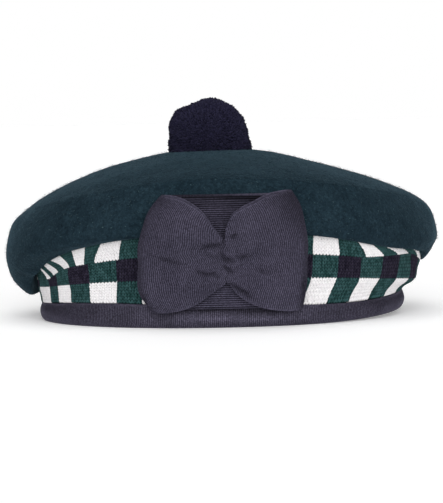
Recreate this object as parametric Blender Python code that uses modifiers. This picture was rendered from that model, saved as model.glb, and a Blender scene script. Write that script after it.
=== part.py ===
"""A balmoral bonnet: felt crown, diced knitted band, ribbon binding, ribbon cockade and wool toorie.

Metres, +Z up. The bonnet rests on z = 0 with its cockade facing -Y, and the origin lies under the
middle of it all. The wearer's forehead is at -X and the nape at +X.
"""

import math

import bmesh
import bpy
import numpy as np

# Head opening, measured over the binding, and its middle as seen from the crown's
HEAD_LENGTH = 0.2076
HEAD_WIDTH = 0.172
HEAD_SHIFT_X = -0.0004
HEAD_SHIFT_Y = -0.014

# Crown
CROWN_LENGTH = 0.2505
CROWN_WIDTH = 0.232
CROWN_HEIGHT = 0.096
BAND_HEIGHT = 0.0525
FELT = 0.0025

# Knitted band and its binding
KNIT = 0.003
RIBBON = 0.001
BINDING_HEIGHT = 0.0125
BINDING_ROUND = 0.0015

# How far the rim lifts at the nape, and how closely the lift keeps to that end
RIM_LIFT = 0.0032
RIM_GRIP = 5

# Cockade, in the plane that faces -Y
COCKADE_X = 0.0004
COCKADE_Z = 0.0427
COCKADE_HEIGHT = 0.065
COCKADE_SPAN = 0.0893
BACKING_WIDTH = 0.056
BACKING_LOOP = 0.0027
WING_LOOP = 0.0052
PLEAT_DEPTH = 0.0011

# Toorie
TOORIE_WIDTH = 0.0475
TOORIE_HEIGHT = 0.0298
TOORIE_X = -0.0065
LOCK_HEIGHT = 0.0022
LOCK_SCATTER = 0.035

# Clearances
GAP = 0.0003
TOORIE_SEAT = 0.0005
COCKADE_SEAT = 0.0005
WING_SEAT = 0.0007
WING_PARTING = 0.0014

# Clearances along the levels: at the seam of band and crown, and where the band leaves the binding
SEAM_CLEARANCE = 0.18
STEP_OUT = 0.14

# How finely the solids are faceted
AROUND = 64
WING_ROWS = 15
BACKING_ROWS = 5
BACKING_COLUMNS = 9

# The band's outline, level by level, with four values each: front, right, back, left. out: how far
# towards the crown's edge, as a share of the crown's overhang on that side. up: height as a share
# of BAND_HEIGHT. grip: how closely the right and left values keep to the ends of the oval.
BAND_LEVELS = (
    dict(name="first_row", out=(0.15, 0.34, 0.05, 0.06), up=(0.500, 0.370, 0.46, 0.37), grip=3),
    dict(name="second_row", out=(0.33, 0.44, 0.14, 0.12), up=(0.755, 0.500, 0.63, 0.49), grip=3),
    dict(name="band_top", out=(0.52, 0.50, 0.27, 0.18), up=(1.000, 0.600, 0.74, 0.59), grip=3),
)

# The underside of the crown, from the band out to the edge. out is as above. up: height above the
# band as a share of the crown's rise, so a share below 0 hangs lower than the band's top.
UNDER_LEVELS = (
    dict(name="tuck", out=(0.60, 0.54, 0.36, 0.23), up=(0.055, -0.52, -0.29, -0.52), grip=6),
    dict(name="lip_inside", out=(0.68, 0.55, 0.48, 0.24), up=(0.110, -0.58, -0.37, -0.68), grip=9),
    dict(name="lip", out=(0.77, 0.59, 0.64, 0.32), up=(0.165, -0.61, -0.41, -0.83), grip=12),
    dict(name="lip_outside", out=(0.86, 0.72, 0.82, 0.55), up=(0.23, -0.55, -0.35, -0.79), grip=8),
    dict(name="edge_low", out=(0.95, 0.87, 0.95, 0.86), up=(0.30, -0.40, -0.22, -0.63), grip=5),
    dict(name="edge", out=(1.00, 1.00, 1.00, 1.00), up=(0.38, -0.20, -0.05, -0.32), grip=3),
)

# The top of the crown. span: share of the crown's half size. up: as for the underside.
DOME_LEVELS = (
    dict(name="edge_high", span=0.970, up=(0.55, 0.14, 0.20, 0.04), grip=2),
    dict(name="shoulder", span=0.900, up=(0.66, 0.33, 0.35, 0.24), grip=2),
    dict(name="slope_low", span=0.780, up=(0.76, 0.49, 0.52, 0.47), grip=2),
    dict(name="slope", span=0.620, up=(0.85, 0.65, 0.68, 0.68), grip=2),
    dict(name="slope_high", span=0.440, up=(0.92, 0.80, 0.83, 0.84), grip=2),
    dict(name="plateau", span=0.250, up=(0.97, 0.935, 0.94, 0.96), grip=2),
    dict(name="summit", span=0.090, up=(0.998, 0.990, 0.995, 0.995), grip=2),
)

# A wing of the cockade, from the pinched middle outwards. across: share of the half span.
# top, bottom: shares of the half height.
WING_EDGES = (
    dict(across=0.00, top=0.28, bottom=-0.44),
    dict(across=0.10, top=0.55, bottom=-0.57),
    dict(across=0.20, top=0.72, bottom=-0.70),
    dict(across=0.35, top=0.85, bottom=-0.84),
    dict(across=0.50, top=0.95, bottom=-0.92),
    dict(across=0.70, top=1.00, bottom=-0.97),
    dict(across=1.02, top=1.02, bottom=-1.00),
)

# The wing's outer fold. height: -1 at the bottom edge to 1 at the top. across: as above.
WING_FOLD = (
    dict(height=-1.0, across=0.82),
    dict(height=-0.6, across=0.93),
    dict(height=-0.2, across=0.985),
    dict(height=0.1, across=1.00),
    dict(height=0.45, across=0.935),
    dict(height=0.75, across=0.84),
    dict(height=1.0, across=0.70),
)

# The ribbon's way round a wing, from the pinch out over the front and back behind. reach: share of
# the way to the fold. stand: share of the loop's thickness, 0 at the bonnet's side.
WING_LOOP_STATIONS = (
    dict(reach=0.00, stand=0.78),
    dict(reach=0.08, stand=0.84),
    dict(reach=0.20, stand=0.93),
    dict(reach=0.36, stand=1.00),
    dict(reach=0.55, stand=1.00),
    dict(reach=0.74, stand=0.95),
    dict(reach=0.89, stand=0.86),
    dict(reach=0.975, stand=0.68),
    dict(reach=1.00, stand=0.42),
    dict(reach=0.975, stand=0.14),
    dict(reach=0.90, stand=0.00),
    dict(reach=0.68, stand=0.00),
    dict(reach=0.44, stand=0.00),
    dict(reach=0.20, stand=0.00),
    dict(reach=0.00, stand=0.00),
)

# Creases that run from the pinch into each wing. start, end: heights on the ribbon, -1 to 1.
# reach: how far out the crease runs. depth: share of PLEAT_DEPTH.
WING_CREASES = {
    -1: (
        dict(start=0.55, end=0.45, reach=0.42, depth=1.0),
        dict(start=0.05, end=0.12, reach=0.60, depth=0.9),
        dict(start=-0.45, end=-0.30, reach=0.40, depth=1.0),
    ),
    1: (
        dict(start=0.60, end=0.62, reach=0.50, depth=1.1),
        dict(start=0.10, end=0.20, reach=0.38, depth=0.9),
        dict(start=-0.25, end=-0.12, reach=0.45, depth=0.8),
        dict(start=-0.70, end=-0.78, reach=0.62, depth=1.2),
    ),
}
CREASE_WIDTH = 0.17
CREASE_CREST = 0.35

HALF_CROWN = (CROWN_LENGTH / 2, CROWN_WIDTH / 2)
HALF_HEAD = (HEAD_LENGTH / 2, HEAD_WIDTH / 2)
RISE = CROWN_HEIGHT - BAND_HEIGHT
WING_BASE = COCKADE_SEAT + BACKING_LOOP + WING_SEAT

# The middle of the crown lies behind the origin by half of what the cockade stands out
CROWN_Y = (WING_BASE + WING_LOOP) / 2


def head_edges():
    """Where the head opening ends on each side: front, right, back, left."""
    middle_y = CROWN_Y + HEAD_SHIFT_Y
    return np.array(
        [
            middle_y - HALF_HEAD[1],
            HEAD_SHIFT_X + HALF_HEAD[0],
            middle_y + HALF_HEAD[1],
            HEAD_SHIFT_X - HALF_HEAD[0],
        ]
    )


def crown_edges(span=1.0):
    """Where the crown ends on each side, or a share of it: front, right, back, left."""
    half = span * np.array([-HALF_CROWN[1], HALF_CROWN[0], HALF_CROWN[1], -HALF_CROWN[0]])
    return half + np.array([CROWN_Y, 0.0, CROWN_Y, 0.0])


def level_table():
    """Every level as a row: four edges, four heights and the grip, from the rim to the summit."""
    head = head_edges()
    reach = crown_edges() - head
    lift = np.array([0.0, RIM_LIFT, 0.0, 0.0])
    rows = [
        [*head, *lift, RIM_GRIP],
        [*head, *(lift + BINDING_HEIGHT), RIM_GRIP],
    ]
    for level in BAND_LEVELS:
        edges = head + reach * np.array(level["out"])
        rows.append([*edges, *(BAND_HEIGHT * np.array(level["up"])), level["grip"]])
    for level in UNDER_LEVELS:
        edges = head + reach * np.array(level["out"])
        heights = BAND_HEIGHT + RISE * np.array(level["up"])
        rows.append([*edges, *heights, level["grip"]])
    for level in DOME_LEVELS:
        heights = BAND_HEIGHT + RISE * np.array(level["up"])
        rows.append([*crown_edges(level["span"]), *heights, level["grip"]])
    return np.array(rows)


LEVELS = level_table()
BINDING_TOP_LEVEL = 1
BAND_TOP_LEVEL = BINDING_TOP_LEVEL + len(BAND_LEVELS)
SUMMIT_LEVEL = len(LEVELS) - 1
EDGE_LOW_LEVEL = BAND_TOP_LEVEL + len(UNDER_LEVELS) - 1


def smooth_rows(rows, where):
    """Catmull-Rom values of a table's columns at fractional row numbers."""
    where = np.asarray(where, float)
    last = len(rows) - 1
    at = np.clip(np.floor(where), 0, last - 1).astype(int)
    part = (where - at)[..., None]
    before, start, end, after = (
        rows[np.clip(at + k, 0, last)] for k in (-1, 0, 1, 2)
    )
    return 0.5 * (
        2 * start
        + (end - before) * part
        + (2 * before - 5 * start + 4 * end - after) * part**2
        + (3 * start - before - 3 * end + after) * part**3
    )


def smooth_curve(xs, ys, where):
    """A smooth curve through the rows of a short table."""
    xs, ys = np.asarray(xs, float), np.asarray(ys, float)
    slopes = np.gradient(ys, xs)
    where = np.clip(where, xs[0], xs[-1])
    at = np.clip(np.searchsorted(xs, where, side="right") - 1, 0, len(xs) - 2)
    width = xs[at + 1] - xs[at]
    s = (where - xs[at]) / width
    return (
        (2 * s**3 - 3 * s**2 + 1) * ys[at]
        + (s**3 - 2 * s**2 + s) * width * slopes[at]
        + (3 * s**2 - 2 * s**3) * ys[at + 1]
        + (s**3 - s**2) * width * slopes[at + 1]
    )


def oval(level, angle):
    """Points of the oval at a fractional level, and the outward normal of the oval in plan."""
    row = smooth_rows(LEVELS, level)
    front, right, back, left = (row[..., k] for k in range(4))
    heights, grip = row[..., 4:8], row[..., 8]
    c, s = np.cos(angle), np.sin(angle)
    half_x, half_y = (right - left) / 2, (back - front) / 2
    side = np.abs(c) ** grip
    side_height = np.where(c > 0, heights[..., 1], heights[..., 3])
    end_height = np.where(s > 0, heights[..., 2], heights[..., 0])
    x = (right + left) / 2 + half_x * c
    y = (back + front) / 2 + half_y * s
    z = side * side_height + (1 - side) * end_height
    normal = np.stack([c * half_y, s * half_x, np.zeros_like(z)], -1)
    length = np.linalg.norm(normal, axis=-1, keepdims=True)
    return np.stack([x, y, z], -1), normal / np.maximum(length, 1e-9)


def even_angles(count):
    """Angles that share the rim's length out evenly."""
    fine = np.linspace(0, 2 * math.pi, 40 * count + 1)
    run = np.hypot(HALF_HEAD[0] * np.sin(fine), HALF_HEAD[1] * np.cos(fine))
    length = np.concatenate([[0], np.cumsum((run[1:] + run[:-1]) / 2)])
    return np.interp(np.arange(count) * length[-1] / count, length, fine)


def front_line(level, x):
    """y and z of the front of a level at each x."""
    row = LEVELS[level]
    middle, half = (row[1] + row[3]) / 2, (row[1] - row[3]) / 2
    point, _ = oval(np.full(x.shape, float(level)), -np.arccos(np.clip((x - middle) / half, -1, 1)))
    return point[..., 1], point[..., 2]


def front_depth(x, z):
    """The y of the straight slope that bridges the front, from the binding to the crown's edge."""
    x, z = np.broadcast_arrays(np.asarray(x, float), np.asarray(z, float))
    foot_y, _ = front_line(0, x)
    edge_y, edge_z = front_line(EDGE_LOW_LEVEL, x)
    foot_z = COCKADE_Z - COCKADE_HEIGHT / 2
    return foot_y + (edge_y - foot_y) * (z - foot_z) / (edge_z - foot_z)


def laid(x, z, lift):
    """Points that stand off the bonnet's front by lift, square to its slope."""
    step = 0.0005
    y = front_depth(x, z)
    slope_x = (front_depth(x + step, z) - front_depth(x - step, z)) / (2 * step)
    slope_z = (front_depth(x, z + step) - front_depth(x, z - step)) / (2 * step)
    normal = np.stack([slope_x, -np.ones_like(y), slope_z], -1)
    normal /= np.linalg.norm(normal, axis=-1, keepdims=True)
    return np.stack([*np.broadcast_arrays(x, y, z)], -1) + normal * np.asarray(lift)[..., None]


def material(name, colour, roughness):
    made = bpy.data.materials.new(name)
    made.use_nodes = True
    shader = made.node_tree.nodes["Principled BSDF"]
    shader.inputs["Base Color"].default_value = (*colour, 1)
    shader.inputs["Roughness"].default_value = roughness
    shader.inputs["Metallic"].default_value = 0
    return made


def place(name, points, faces, finish, collection):
    """A named object from points and faces."""
    mesh = bpy.data.meshes.new(name)
    mesh.from_pydata([tuple(p) for p in points], [], faces)
    mesh.validate()
    mesh.materials.append(finish)
    mesh.shade_smooth()
    made = bpy.data.objects.new(name, mesh)
    collection.objects.link(made)
    return made


def ring_faces(rows, columns):
    """Quads between closed rings that are stacked row after row."""
    return [
        (
            row * columns + column,
            row * columns + (column + 1) % columns,
            (row + 1) * columns + (column + 1) % columns,
            (row + 1) * columns + column,
        )
        for row in range(rows - 1)
        for column in range(columns)
    ]


def patch_faces(rows, columns, flip=False):
    """Quads of an open sheet whose points run row after row."""
    quads = [
        (
            row * columns + column,
            row * columns + column + 1,
            (row + 1) * columns + column + 1,
            (row + 1) * columns + column,
        )
        for row in range(rows - 1)
        for column in range(columns - 1)
    ]
    return [quad[::-1] for quad in quads] if flip else quads


def thicken(made, thickness, even=True):
    """Gives an open surface its wall, on the side away from its normals."""
    wall = made.modifiers.new("wall", "SOLIDIFY")
    wall.thickness = thickness
    wall.offset = -1
    wall.use_even_offset = even
    wall.use_quality_normals = True


def build_crown(finish, collection):
    """The felt crown: lofted from the band's top, round the edge and up to the summit."""
    levels = np.arange(BAND_TOP_LEVEL, SUMMIT_LEVEL + 1, dtype=float)
    levels[0] += SEAM_CLEARANCE
    count = len(levels)
    points, _ = oval(levels[:, None], even_angles(AROUND)[None, :])
    faces = ring_faces(count, AROUND)
    points = [*points.reshape(-1, 3), (0.0, CROWN_Y, CROWN_HEIGHT)]
    summit, last = len(points) - 1, (count - 1) * AROUND
    faces += [(last + k, last + (k + 1) % AROUND, summit) for k in range(AROUND)]
    crown = place("crown", points, faces, finish, collection)
    thicken(crown, FELT, even=False)


def wall_point(angle, height, inset):
    """A point of the rim's upright wall: a height above the rim, moved inwards by inset."""
    point, normal = oval(np.zeros_like(angle), angle)
    moved = point - normal * inset
    moved[..., 2] += height
    return moved


def build_band(finish, collection):
    """The knitted band: tucked inside the binding, then flaring out to the crown."""
    angles = even_angles(AROUND)
    tuck = RIBBON + GAP
    rows = [
        wall_point(angles, height, tuck)
        for height in np.linspace(RIBBON + GAP, BINDING_HEIGHT + GAP, 3)
    ]
    levels = np.arange(BINDING_TOP_LEVEL, BAND_TOP_LEVEL + 1, dtype=float)
    levels[0] += STEP_OUT
    rows += [oval(np.full(AROUND, level), angles)[0] for level in levels]
    band = place(
        "diced_band", np.concatenate(rows), ring_faces(len(rows), AROUND), finish, collection
    )
    thicken(band, KNIT)


def build_binding(finish, collection):
    """The ribbon binding: a channel that folds round the lower edge of the band."""
    angles = even_angles(AROUND)
    inner = 2 * RIBBON + 2 * GAP + KNIT
    bend = BINDING_ROUND * (1 - math.sqrt(0.5))
    profile = (
        dict(inset=0.0, height=BINDING_HEIGHT),
        dict(inset=0.0, height=BINDING_ROUND),
        dict(inset=bend, height=bend),
        dict(inset=BINDING_ROUND, height=0.0),
        dict(inset=inner - BINDING_ROUND, height=0.0),
        dict(inset=inner - bend, height=bend),
        dict(inset=inner, height=BINDING_ROUND),
        dict(inset=inner, height=BINDING_HEIGHT),
    )
    rows = [wall_point(angles, row["height"], row["inset"]) for row in profile]
    faces = [quad[::-1] for quad in ring_faces(len(rows), AROUND)]
    binding = place("binding_ribbon", np.concatenate(rows), faces, finish, collection)
    thicken(binding, RIBBON)


def build_backing(finish, collection):
    """The cockade's upright loop of ribbon, which lies flat on the bonnet under the wings."""
    half_height, radius = COCKADE_HEIGHT / 2, BACKING_LOOP / 2
    straight = np.linspace(-1, 1, BACKING_ROWS) * (half_height - radius)
    turn = np.linspace(0, math.pi, 5)[1:-1]
    front = [(z, BACKING_LOOP) for z in straight]
    top = [(straight[-1] + radius * math.sin(a), radius * (1 + math.cos(a))) for a in turn]
    back = [(z, 0.0) for z in straight[::-1]]
    bottom = [(straight[0] - radius * math.sin(a), radius * (1 - math.cos(a))) for a in turn]
    loop = np.array(front + top + back + bottom)
    across = np.linspace(-0.5, 0.5, BACKING_COLUMNS) * BACKING_WIDTH
    x, z = np.broadcast_arrays(COCKADE_X + across[:, None], COCKADE_Z + loop[None, :, 0])
    points = laid(x, z, COCKADE_SEAT + np.broadcast_to(loop[None, :, 1], x.shape))
    faces = [quad[::-1] for quad in ring_faces(len(across), len(loop))]
    backing = place("cockade_backing", points.reshape(-1, 3), faces, finish, collection)
    thicken(backing, RIBBON)


def crease_depth(side, reach, height):
    """How far the wing's front dips or stands up at its creases, as a share of PLEAT_DEPTH."""
    depth = np.zeros(np.broadcast(reach, height).shape)
    for crease in WING_CREASES[side]:
        run = np.clip(reach / crease["reach"], 0, 1)
        centre = crease["start"] + (crease["end"] - crease["start"]) * run
        fade = (1 - run) ** 1.5 * crease["depth"]
        offset = (height - centre) / CREASE_WIDTH
        crest = (np.abs(offset) - 1.6) / 0.8
        depth += fade * (np.exp(-(offset**2)) - CREASE_CREST * np.exp(-(crest**2)))
    return depth


def build_wing(side, finish, collection):
    """One wing of the cockade: a flattened loop of ribbon, gathered at the middle."""
    reach = np.array([station["reach"] for station in WING_LOOP_STATIONS])[:, None]
    stand = np.array([station["stand"] for station in WING_LOOP_STATIONS])[:, None]
    front = np.arange(len(reach))[:, None] < np.argmax(reach)
    height = np.linspace(-1, 1, WING_ROWS)[None, :]
    fold = smooth_curve(*columns(WING_FOLD, "height", "across"), height)
    across = reach * fold
    top = smooth_curve(*columns(WING_EDGES, "across", "top"), across)
    bottom = smooth_curve(*columns(WING_EDGES, "across", "bottom"), across)
    inner = WING_PARTING / 2
    x = COCKADE_X + side * (inner + across * (COCKADE_SPAN / 2 - inner))
    z = COCKADE_Z + COCKADE_HEIGHT / 2 * (bottom + (top - bottom) * (height + 1) / 2)
    dip = np.where(front, crease_depth(side, reach, height) * PLEAT_DEPTH, 0.0)
    lift = WING_BASE + stand * WING_LOOP - dip
    points = laid(x, z, lift).reshape(-1, 3)
    faces = patch_faces(len(reach), height.size, flip=side > 0)
    name = "cockade_wing_left" if side < 0 else "cockade_wing_right"
    wing = place(name, points, faces, finish, collection)
    thicken(wing, RIBBON)


def columns(table, *names):
    return [[row[name] for row in table] for name in names]


def crown_top_height(x, y):
    """Height of the crown's upper surface over a point."""
    across, along = x / HALF_CROWN[0], (y - CROWN_Y) / HALF_CROWN[1]
    out = np.hypot(across, along)
    spans = np.array([level["span"] for level in DOME_LEVELS])
    numbers = np.arange(len(LEVELS) - len(spans), len(LEVELS))
    level = np.interp(-out, -spans, numbers)
    point, _ = oval(level, np.arctan2(along, across))
    inside = np.clip(1 - out / spans[-1], 0, 1)
    return point[..., 2] + (CROWN_HEIGHT - point[..., 2]) * inside


def build_toorie(finish, collection):
    """The toorie: a squashed ball of wool whose surface is drawn up into short locks."""
    ball = bmesh.new()
    bmesh.ops.create_icosphere(ball, subdivisions=3, radius=1)
    tips = len(ball.verts)
    bmesh.ops.subdivide_edges(ball, edges=ball.edges[:], cuts=1, use_grid_fill=True)
    directions = np.array([v.co for v in ball.verts])
    faces = [tuple(v.index for v in f.verts) for f in ball.faces]
    ball.free()
    directions /= np.linalg.norm(directions, axis=1, keepdims=True)
    random = np.random.default_rng(4)
    directions[:tips] += random.normal(0, LOCK_SCATTER, (tips, 3))
    directions /= np.linalg.norm(directions, axis=1, keepdims=True)
    lengths = np.full(len(directions), TOORIE_WIDTH / 2 - LOCK_HEIGHT)
    lengths[:tips] += LOCK_HEIGHT * random.uniform(0.6, 1.0, tips)
    points = directions * lengths[:, None]
    base = crown_top_height(np.array(TOORIE_X), np.array(CROWN_Y))
    middle = base + TOORIE_HEIGHT - TOORIE_WIDTH / 2
    points += np.array([TOORIE_X, CROWN_Y, middle])
    seat = crown_top_height(points[:, 0], points[:, 1]) + TOORIE_SEAT
    points[:, 2] = np.maximum(points[:, 2], seat)
    place("toorie", points, faces, finish, collection)


def main():
    for old in list(bpy.data.objects):
        bpy.data.objects.remove(old)
    collection = bpy.data.collections.new("balmoral_bonnet")
    bpy.context.scene.collection.children.link(collection)
    felt = material("bottle_green_felt", (0.018, 0.038, 0.046), 0.95)
    knit = material("diced_knit", (0.03, 0.09, 0.07), 0.9)
    ribbon = material("black_grosgrain", (0.035, 0.032, 0.045), 0.6)
    wool = material("navy_black_wool", (0.010, 0.010, 0.018), 0.95)
    build_crown(felt, collection)
    build_band(knit, collection)
    build_binding(ribbon, collection)
    build_backing(ribbon, collection)
    for side in (-1, 1):
        build_wing(side, ribbon, collection)
    build_toorie(wool, collection)


main()
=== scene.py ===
"""Looks for the balmoral bonnet: felt crown, diced knit, ribbed ribbon and a wool toorie.

Metres, +Z up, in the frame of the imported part. The cockade faces -Y, the forehead is at -X.
"""

import math

import bmesh
import bpy
import numpy as np
from mathutils import Matrix, Vector, noise

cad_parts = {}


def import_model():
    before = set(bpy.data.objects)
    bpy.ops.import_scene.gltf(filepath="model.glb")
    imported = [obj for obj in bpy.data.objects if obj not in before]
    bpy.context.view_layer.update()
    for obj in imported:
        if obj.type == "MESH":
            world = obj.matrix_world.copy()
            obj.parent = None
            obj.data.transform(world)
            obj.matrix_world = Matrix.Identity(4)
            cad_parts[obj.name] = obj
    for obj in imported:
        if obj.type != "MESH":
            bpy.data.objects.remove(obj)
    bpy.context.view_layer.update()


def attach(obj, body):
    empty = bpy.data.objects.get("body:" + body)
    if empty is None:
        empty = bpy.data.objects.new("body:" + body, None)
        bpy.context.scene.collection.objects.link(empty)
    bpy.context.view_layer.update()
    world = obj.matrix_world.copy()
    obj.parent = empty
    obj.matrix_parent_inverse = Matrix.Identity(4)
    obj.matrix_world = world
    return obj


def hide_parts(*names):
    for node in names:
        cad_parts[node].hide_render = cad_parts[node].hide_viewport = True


def entries(names, *rows):
    """A short table: each row as a dict of the named columns and its values."""
    return [dict(zip(names.split(), row)) for row in rows]


def curve(names, *rows):
    """A short table that is read along its first column: an array to each named column."""
    return dict(zip(names.split(), np.array(rows, float).T))


# Head opening, crown, band and binding, as in the part
HEAD_LENGTH = 0.2076
HEAD_WIDTH = 0.172
HEAD_SHIFT_X = -0.0004
HEAD_SHIFT_Y = -0.014
CROWN_LENGTH = 0.2505
CROWN_WIDTH = 0.232
CROWN_HEIGHT = 0.096
BAND_HEIGHT = 0.0525
FELT = 0.0025
KNIT = 0.003
RIBBON = 0.001
BINDING_HEIGHT = 0.0125
RIM_LIFT = 0.0032
RIM_GRIP = 5
GAP = 0.0003
SEAM_CLEARANCE = 0.18
STEP_OUT = 0.14

# Cockade, as in the part
COCKADE_X = 0.0004
COCKADE_Z = 0.0427
COCKADE_HEIGHT = 0.065
COCKADE_SPAN = 0.0893
BACKING_WIDTH = 0.056
BACKING_LOOP = 0.0027
WING_LOOP = 0.0052
COCKADE_SEAT = 0.0005
WING_SEAT = 0.0007

# Toorie, as in the part
TOORIE_WIDTH = 0.0475
TOORIE_HEIGHT = 0.0298
TOORIE_X = -0.0065
TOORIE_SEAT = 0.0005

# The outline of the band, the underside and the dome, as in the part: front, right, back, left
BAND_LEVELS = entries(
    "out up grip",
    ((0.15, 0.34, 0.05, 0.06), (0.500, 0.370, 0.46, 0.37), 3),
    ((0.33, 0.44, 0.14, 0.12), (0.755, 0.500, 0.63, 0.49), 3),
    ((0.52, 0.50, 0.27, 0.18), (1.000, 0.600, 0.74, 0.59), 3),
)
UNDER_LEVELS = entries(
    "out up grip",
    ((0.60, 0.54, 0.36, 0.23), (0.055, -0.52, -0.29, -0.52), 6),
    ((0.68, 0.55, 0.48, 0.24), (0.110, -0.58, -0.37, -0.68), 9),
    ((0.77, 0.59, 0.64, 0.32), (0.165, -0.61, -0.41, -0.83), 12),
    ((0.86, 0.72, 0.82, 0.55), (0.23, -0.55, -0.35, -0.79), 8),
    ((0.95, 0.87, 0.95, 0.86), (0.30, -0.40, -0.22, -0.63), 5),
    ((1.00, 1.00, 1.00, 1.00), (0.38, -0.20, -0.05, -0.32), 3),
)
DOME_LEVELS = entries(
    "span up grip",
    (0.970, (0.55, 0.14, 0.20, 0.04), 2),
    (0.900, (0.66, 0.33, 0.35, 0.24), 2),
    (0.780, (0.76, 0.49, 0.52, 0.47), 2),
    (0.620, (0.85, 0.65, 0.68, 0.68), 2),
    (0.440, (0.92, 0.80, 0.83, 0.84), 2),
    (0.250, (0.97, 0.935, 0.94, 0.96), 2),
    (0.090, (0.998, 0.990, 0.995, 0.995), 2),
)

# A wing of the cockade, as in the part, in shares of its half span, half height and loop:
# its bottom edge, its outer fold, and the loop from the gather out and back again
WING_BOTTOM = curve(
    "across bottom",
    (0.00, -0.44), (0.10, -0.57), (0.20, -0.70), (0.35, -0.84), (0.50, -0.92), (0.70, -0.97),
    (1.02, -1.00),
)
WING_FOLD = curve(
    "height across",
    (-1.0, 0.82), (-0.6, 0.93), (-0.2, 0.985), (0.1, 1.00), (0.45, 0.935), (0.75, 0.84),
    (1.0, 0.70),
)
WING_LOOP_STATIONS = curve(
    "reach stand",
    (0.00, 0.78), (0.08, 0.84), (0.20, 0.93), (0.36, 1.00), (0.55, 1.00), (0.74, 0.93),
    (0.88, 0.78), (0.965, 0.55), (1.00, 0.30), (0.975, 0.08), (0.90, 0.00), (0.68, 0.00),
    (0.44, 0.00), (0.20, 0.00), (0.00, 0.00),
)

# Creases on the cockade's front: points across and up from its middle, width and depth in metres
CREASES = entries(
    "path width depth",
    (((-0.0355, 0.0003), (-0.0267, -0.0025), (-0.0176, -0.0053)), 0.0010, 0.0009),
    (((-0.0120, 0.0044), (-0.0076, 0.0052), (0.0020, 0.0063)), 0.0010, 0.0013),
    (((-0.0098, 0.0028), (-0.0060, 0.0000), (-0.0005, -0.0010)), 0.0009, 0.0007),
    (((-0.0150, -0.0072), (-0.0091, -0.0100), (-0.0047, -0.0099), (-0.0008, -0.0125)), 0.0009, 0.0012),
    (((-0.0182, 0.0170), (-0.0172, 0.0196)), 0.0024, 0.0005),
    (((0.0038, 0.0086), (0.0078, 0.0122)), 0.0009, 0.0011),
    (((0.0006, 0.0135), (0.0003, 0.0050), (-0.0015, 0.0032)), 0.0008, 0.0010),
    (((-0.0015, 0.0032), (0.0008, -0.0018), (0.0040, -0.0024), (0.0072, -0.0036)), 0.0010, 0.0013),
    (((0.0062, -0.0003), (0.0086, -0.0012), (0.0140, 0.0002)), 0.0010, 0.0010),
    (((-0.0006, -0.0051), (0.0039, -0.0084), (0.0060, -0.0107)), 0.0009, 0.0012),
    (((0.0155, -0.0071), (0.0246, -0.0107)), 0.0010, 0.0008),
    (((0.0011, -0.0133), (0.0030, -0.0156), (0.0112, -0.0205), (0.0160, -0.0255)), 0.0010, 0.0014),
    (((0.0417, -0.0110), (0.0415, -0.0345)), 0.0009, 0.0008),
    (((-0.0420, -0.0200), (-0.0395, -0.0330)), 0.0009, 0.0008),
    (((0.0290, 0.0330), (0.0365, 0.0285), (0.0440, 0.0150)), 0.0050, 0.0006),
)
# How much painted shade a crease gets for its depth, how much wider it is than in the table, and the
# swell beside it
CREASE_SHADE = 430.0
CREASE_WIDER = 1.4
CREASE_SWELL = 0.55
CREASE_SPREAD = 2.4
# Small lumps of gathered ribbon between the creases
LUMPS = entries(
    "across up wide tall height",
    (-0.0057, -0.0010, 0.0030, 0.0048, 0.0009),
    (0.0030, -0.0055, 0.0030, 0.0022, 0.0008),
    (0.0100, 0.0050, 0.0060, 0.0040, 0.0007),
)

# Where the gathered wings meet: how far the seam lies aside, by height
WING_SEAM = curve(
    "up aside",
    (-0.0325, 0.0), (-0.0200, 0.0), (-0.0158, 0.0014), (-0.0125, 0.0002), (-0.0099, 0.0020),
    (-0.0058, -0.0004), (-0.0029, 0.0020), (0.0020, -0.0010), (0.0066, 0.0008), (0.0120, 0.0),
    (0.0325, 0.0),
)
# The top edges of the left and right wing, which frame the ribbon between them
WING_TOPS = {
    -1: curve(
        "across top",
        (0.0, 0.20), (0.10, 0.425), (0.19, 0.63), (0.35, 0.84), (0.50, 0.95), (0.70, 1.00),
        (1.02, 1.02),
    ),
    1: curve(
        "across top",
        (0.0, 0.17), (0.04, 0.40), (0.10, 0.61), (0.22, 0.76), (0.38, 0.87), (0.50, 0.95),
        (0.70, 1.00), (1.02, 1.02),
    ),
}
# How much fuller each wing's outer corners are than the part's, by height, and how much higher
WING_CORNERS = {
    -1: curve(
        "height wider",
        (-1.0, 0.03), (-0.7, 0.075), (-0.2, 0.005), (1.0, 0.0),
    ),
    1: curve(
        "height wider",
        (-1.0, 0.13), (-0.6, 0.05), (0.1, 0.0), (0.75, 0.09), (1.0, 0.16),
    ),
}
WING_CORNER_RISE = {-1: 0.0, 1: 0.03}
# Painted shade on each wing where its upper corner and its outer fold turn away from the light
CORNER_SHADE = {-1: 0.25, 1: 0.40}
FOLD_SHADE = 0.30
# How far out from the seam each wing starts, and how much further it stands out there
WING_INNER = {-1: -0.0008, 1: 0.0002}
WING_OVER = {-1: 0.0005, 1: 0.0}
# Points from a wing's bottom edge to its top
WING_ROWS = 111
# The wall of the cockade's loops as they are shown, and how a wing's face waves
RIBBON_SHOWN = 0.0007
WING_WAVE_SIZE = 0.013
WING_WAVES = 0.0004

# The tuck under the top fold of the under-ribbon: a groove, darkened with painted shade
TUCK_UP = 0.0303
TUCK_SLOPE = 0.0032
TUCK_WIDTH = 0.0015
TUCK_DEPTH = 0.0008
TUCK_SHADE = 0.66
# The under-ribbon's ribs, with painted light on their crests and painted shade between them, and how far
# it ends inside the cockade
UNDER_RIB_HEIGHT = 0.00036
UNDER_STEPS = (0.0, 0.6, 1.3, 1.0)
UNDER_SHADE = 0.05
UNDER_SHORT = 0.0010
# How it is pressed in at its middle and swells towards its ends
UNDER_PRESS = 0.0006
UNDER_SWELL = 0.0005
# The shade on its foot, and how far under the cockade's middle that starts
FOOT_SHADE = 0.60
FOOT_FROM = 0.0305
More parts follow.
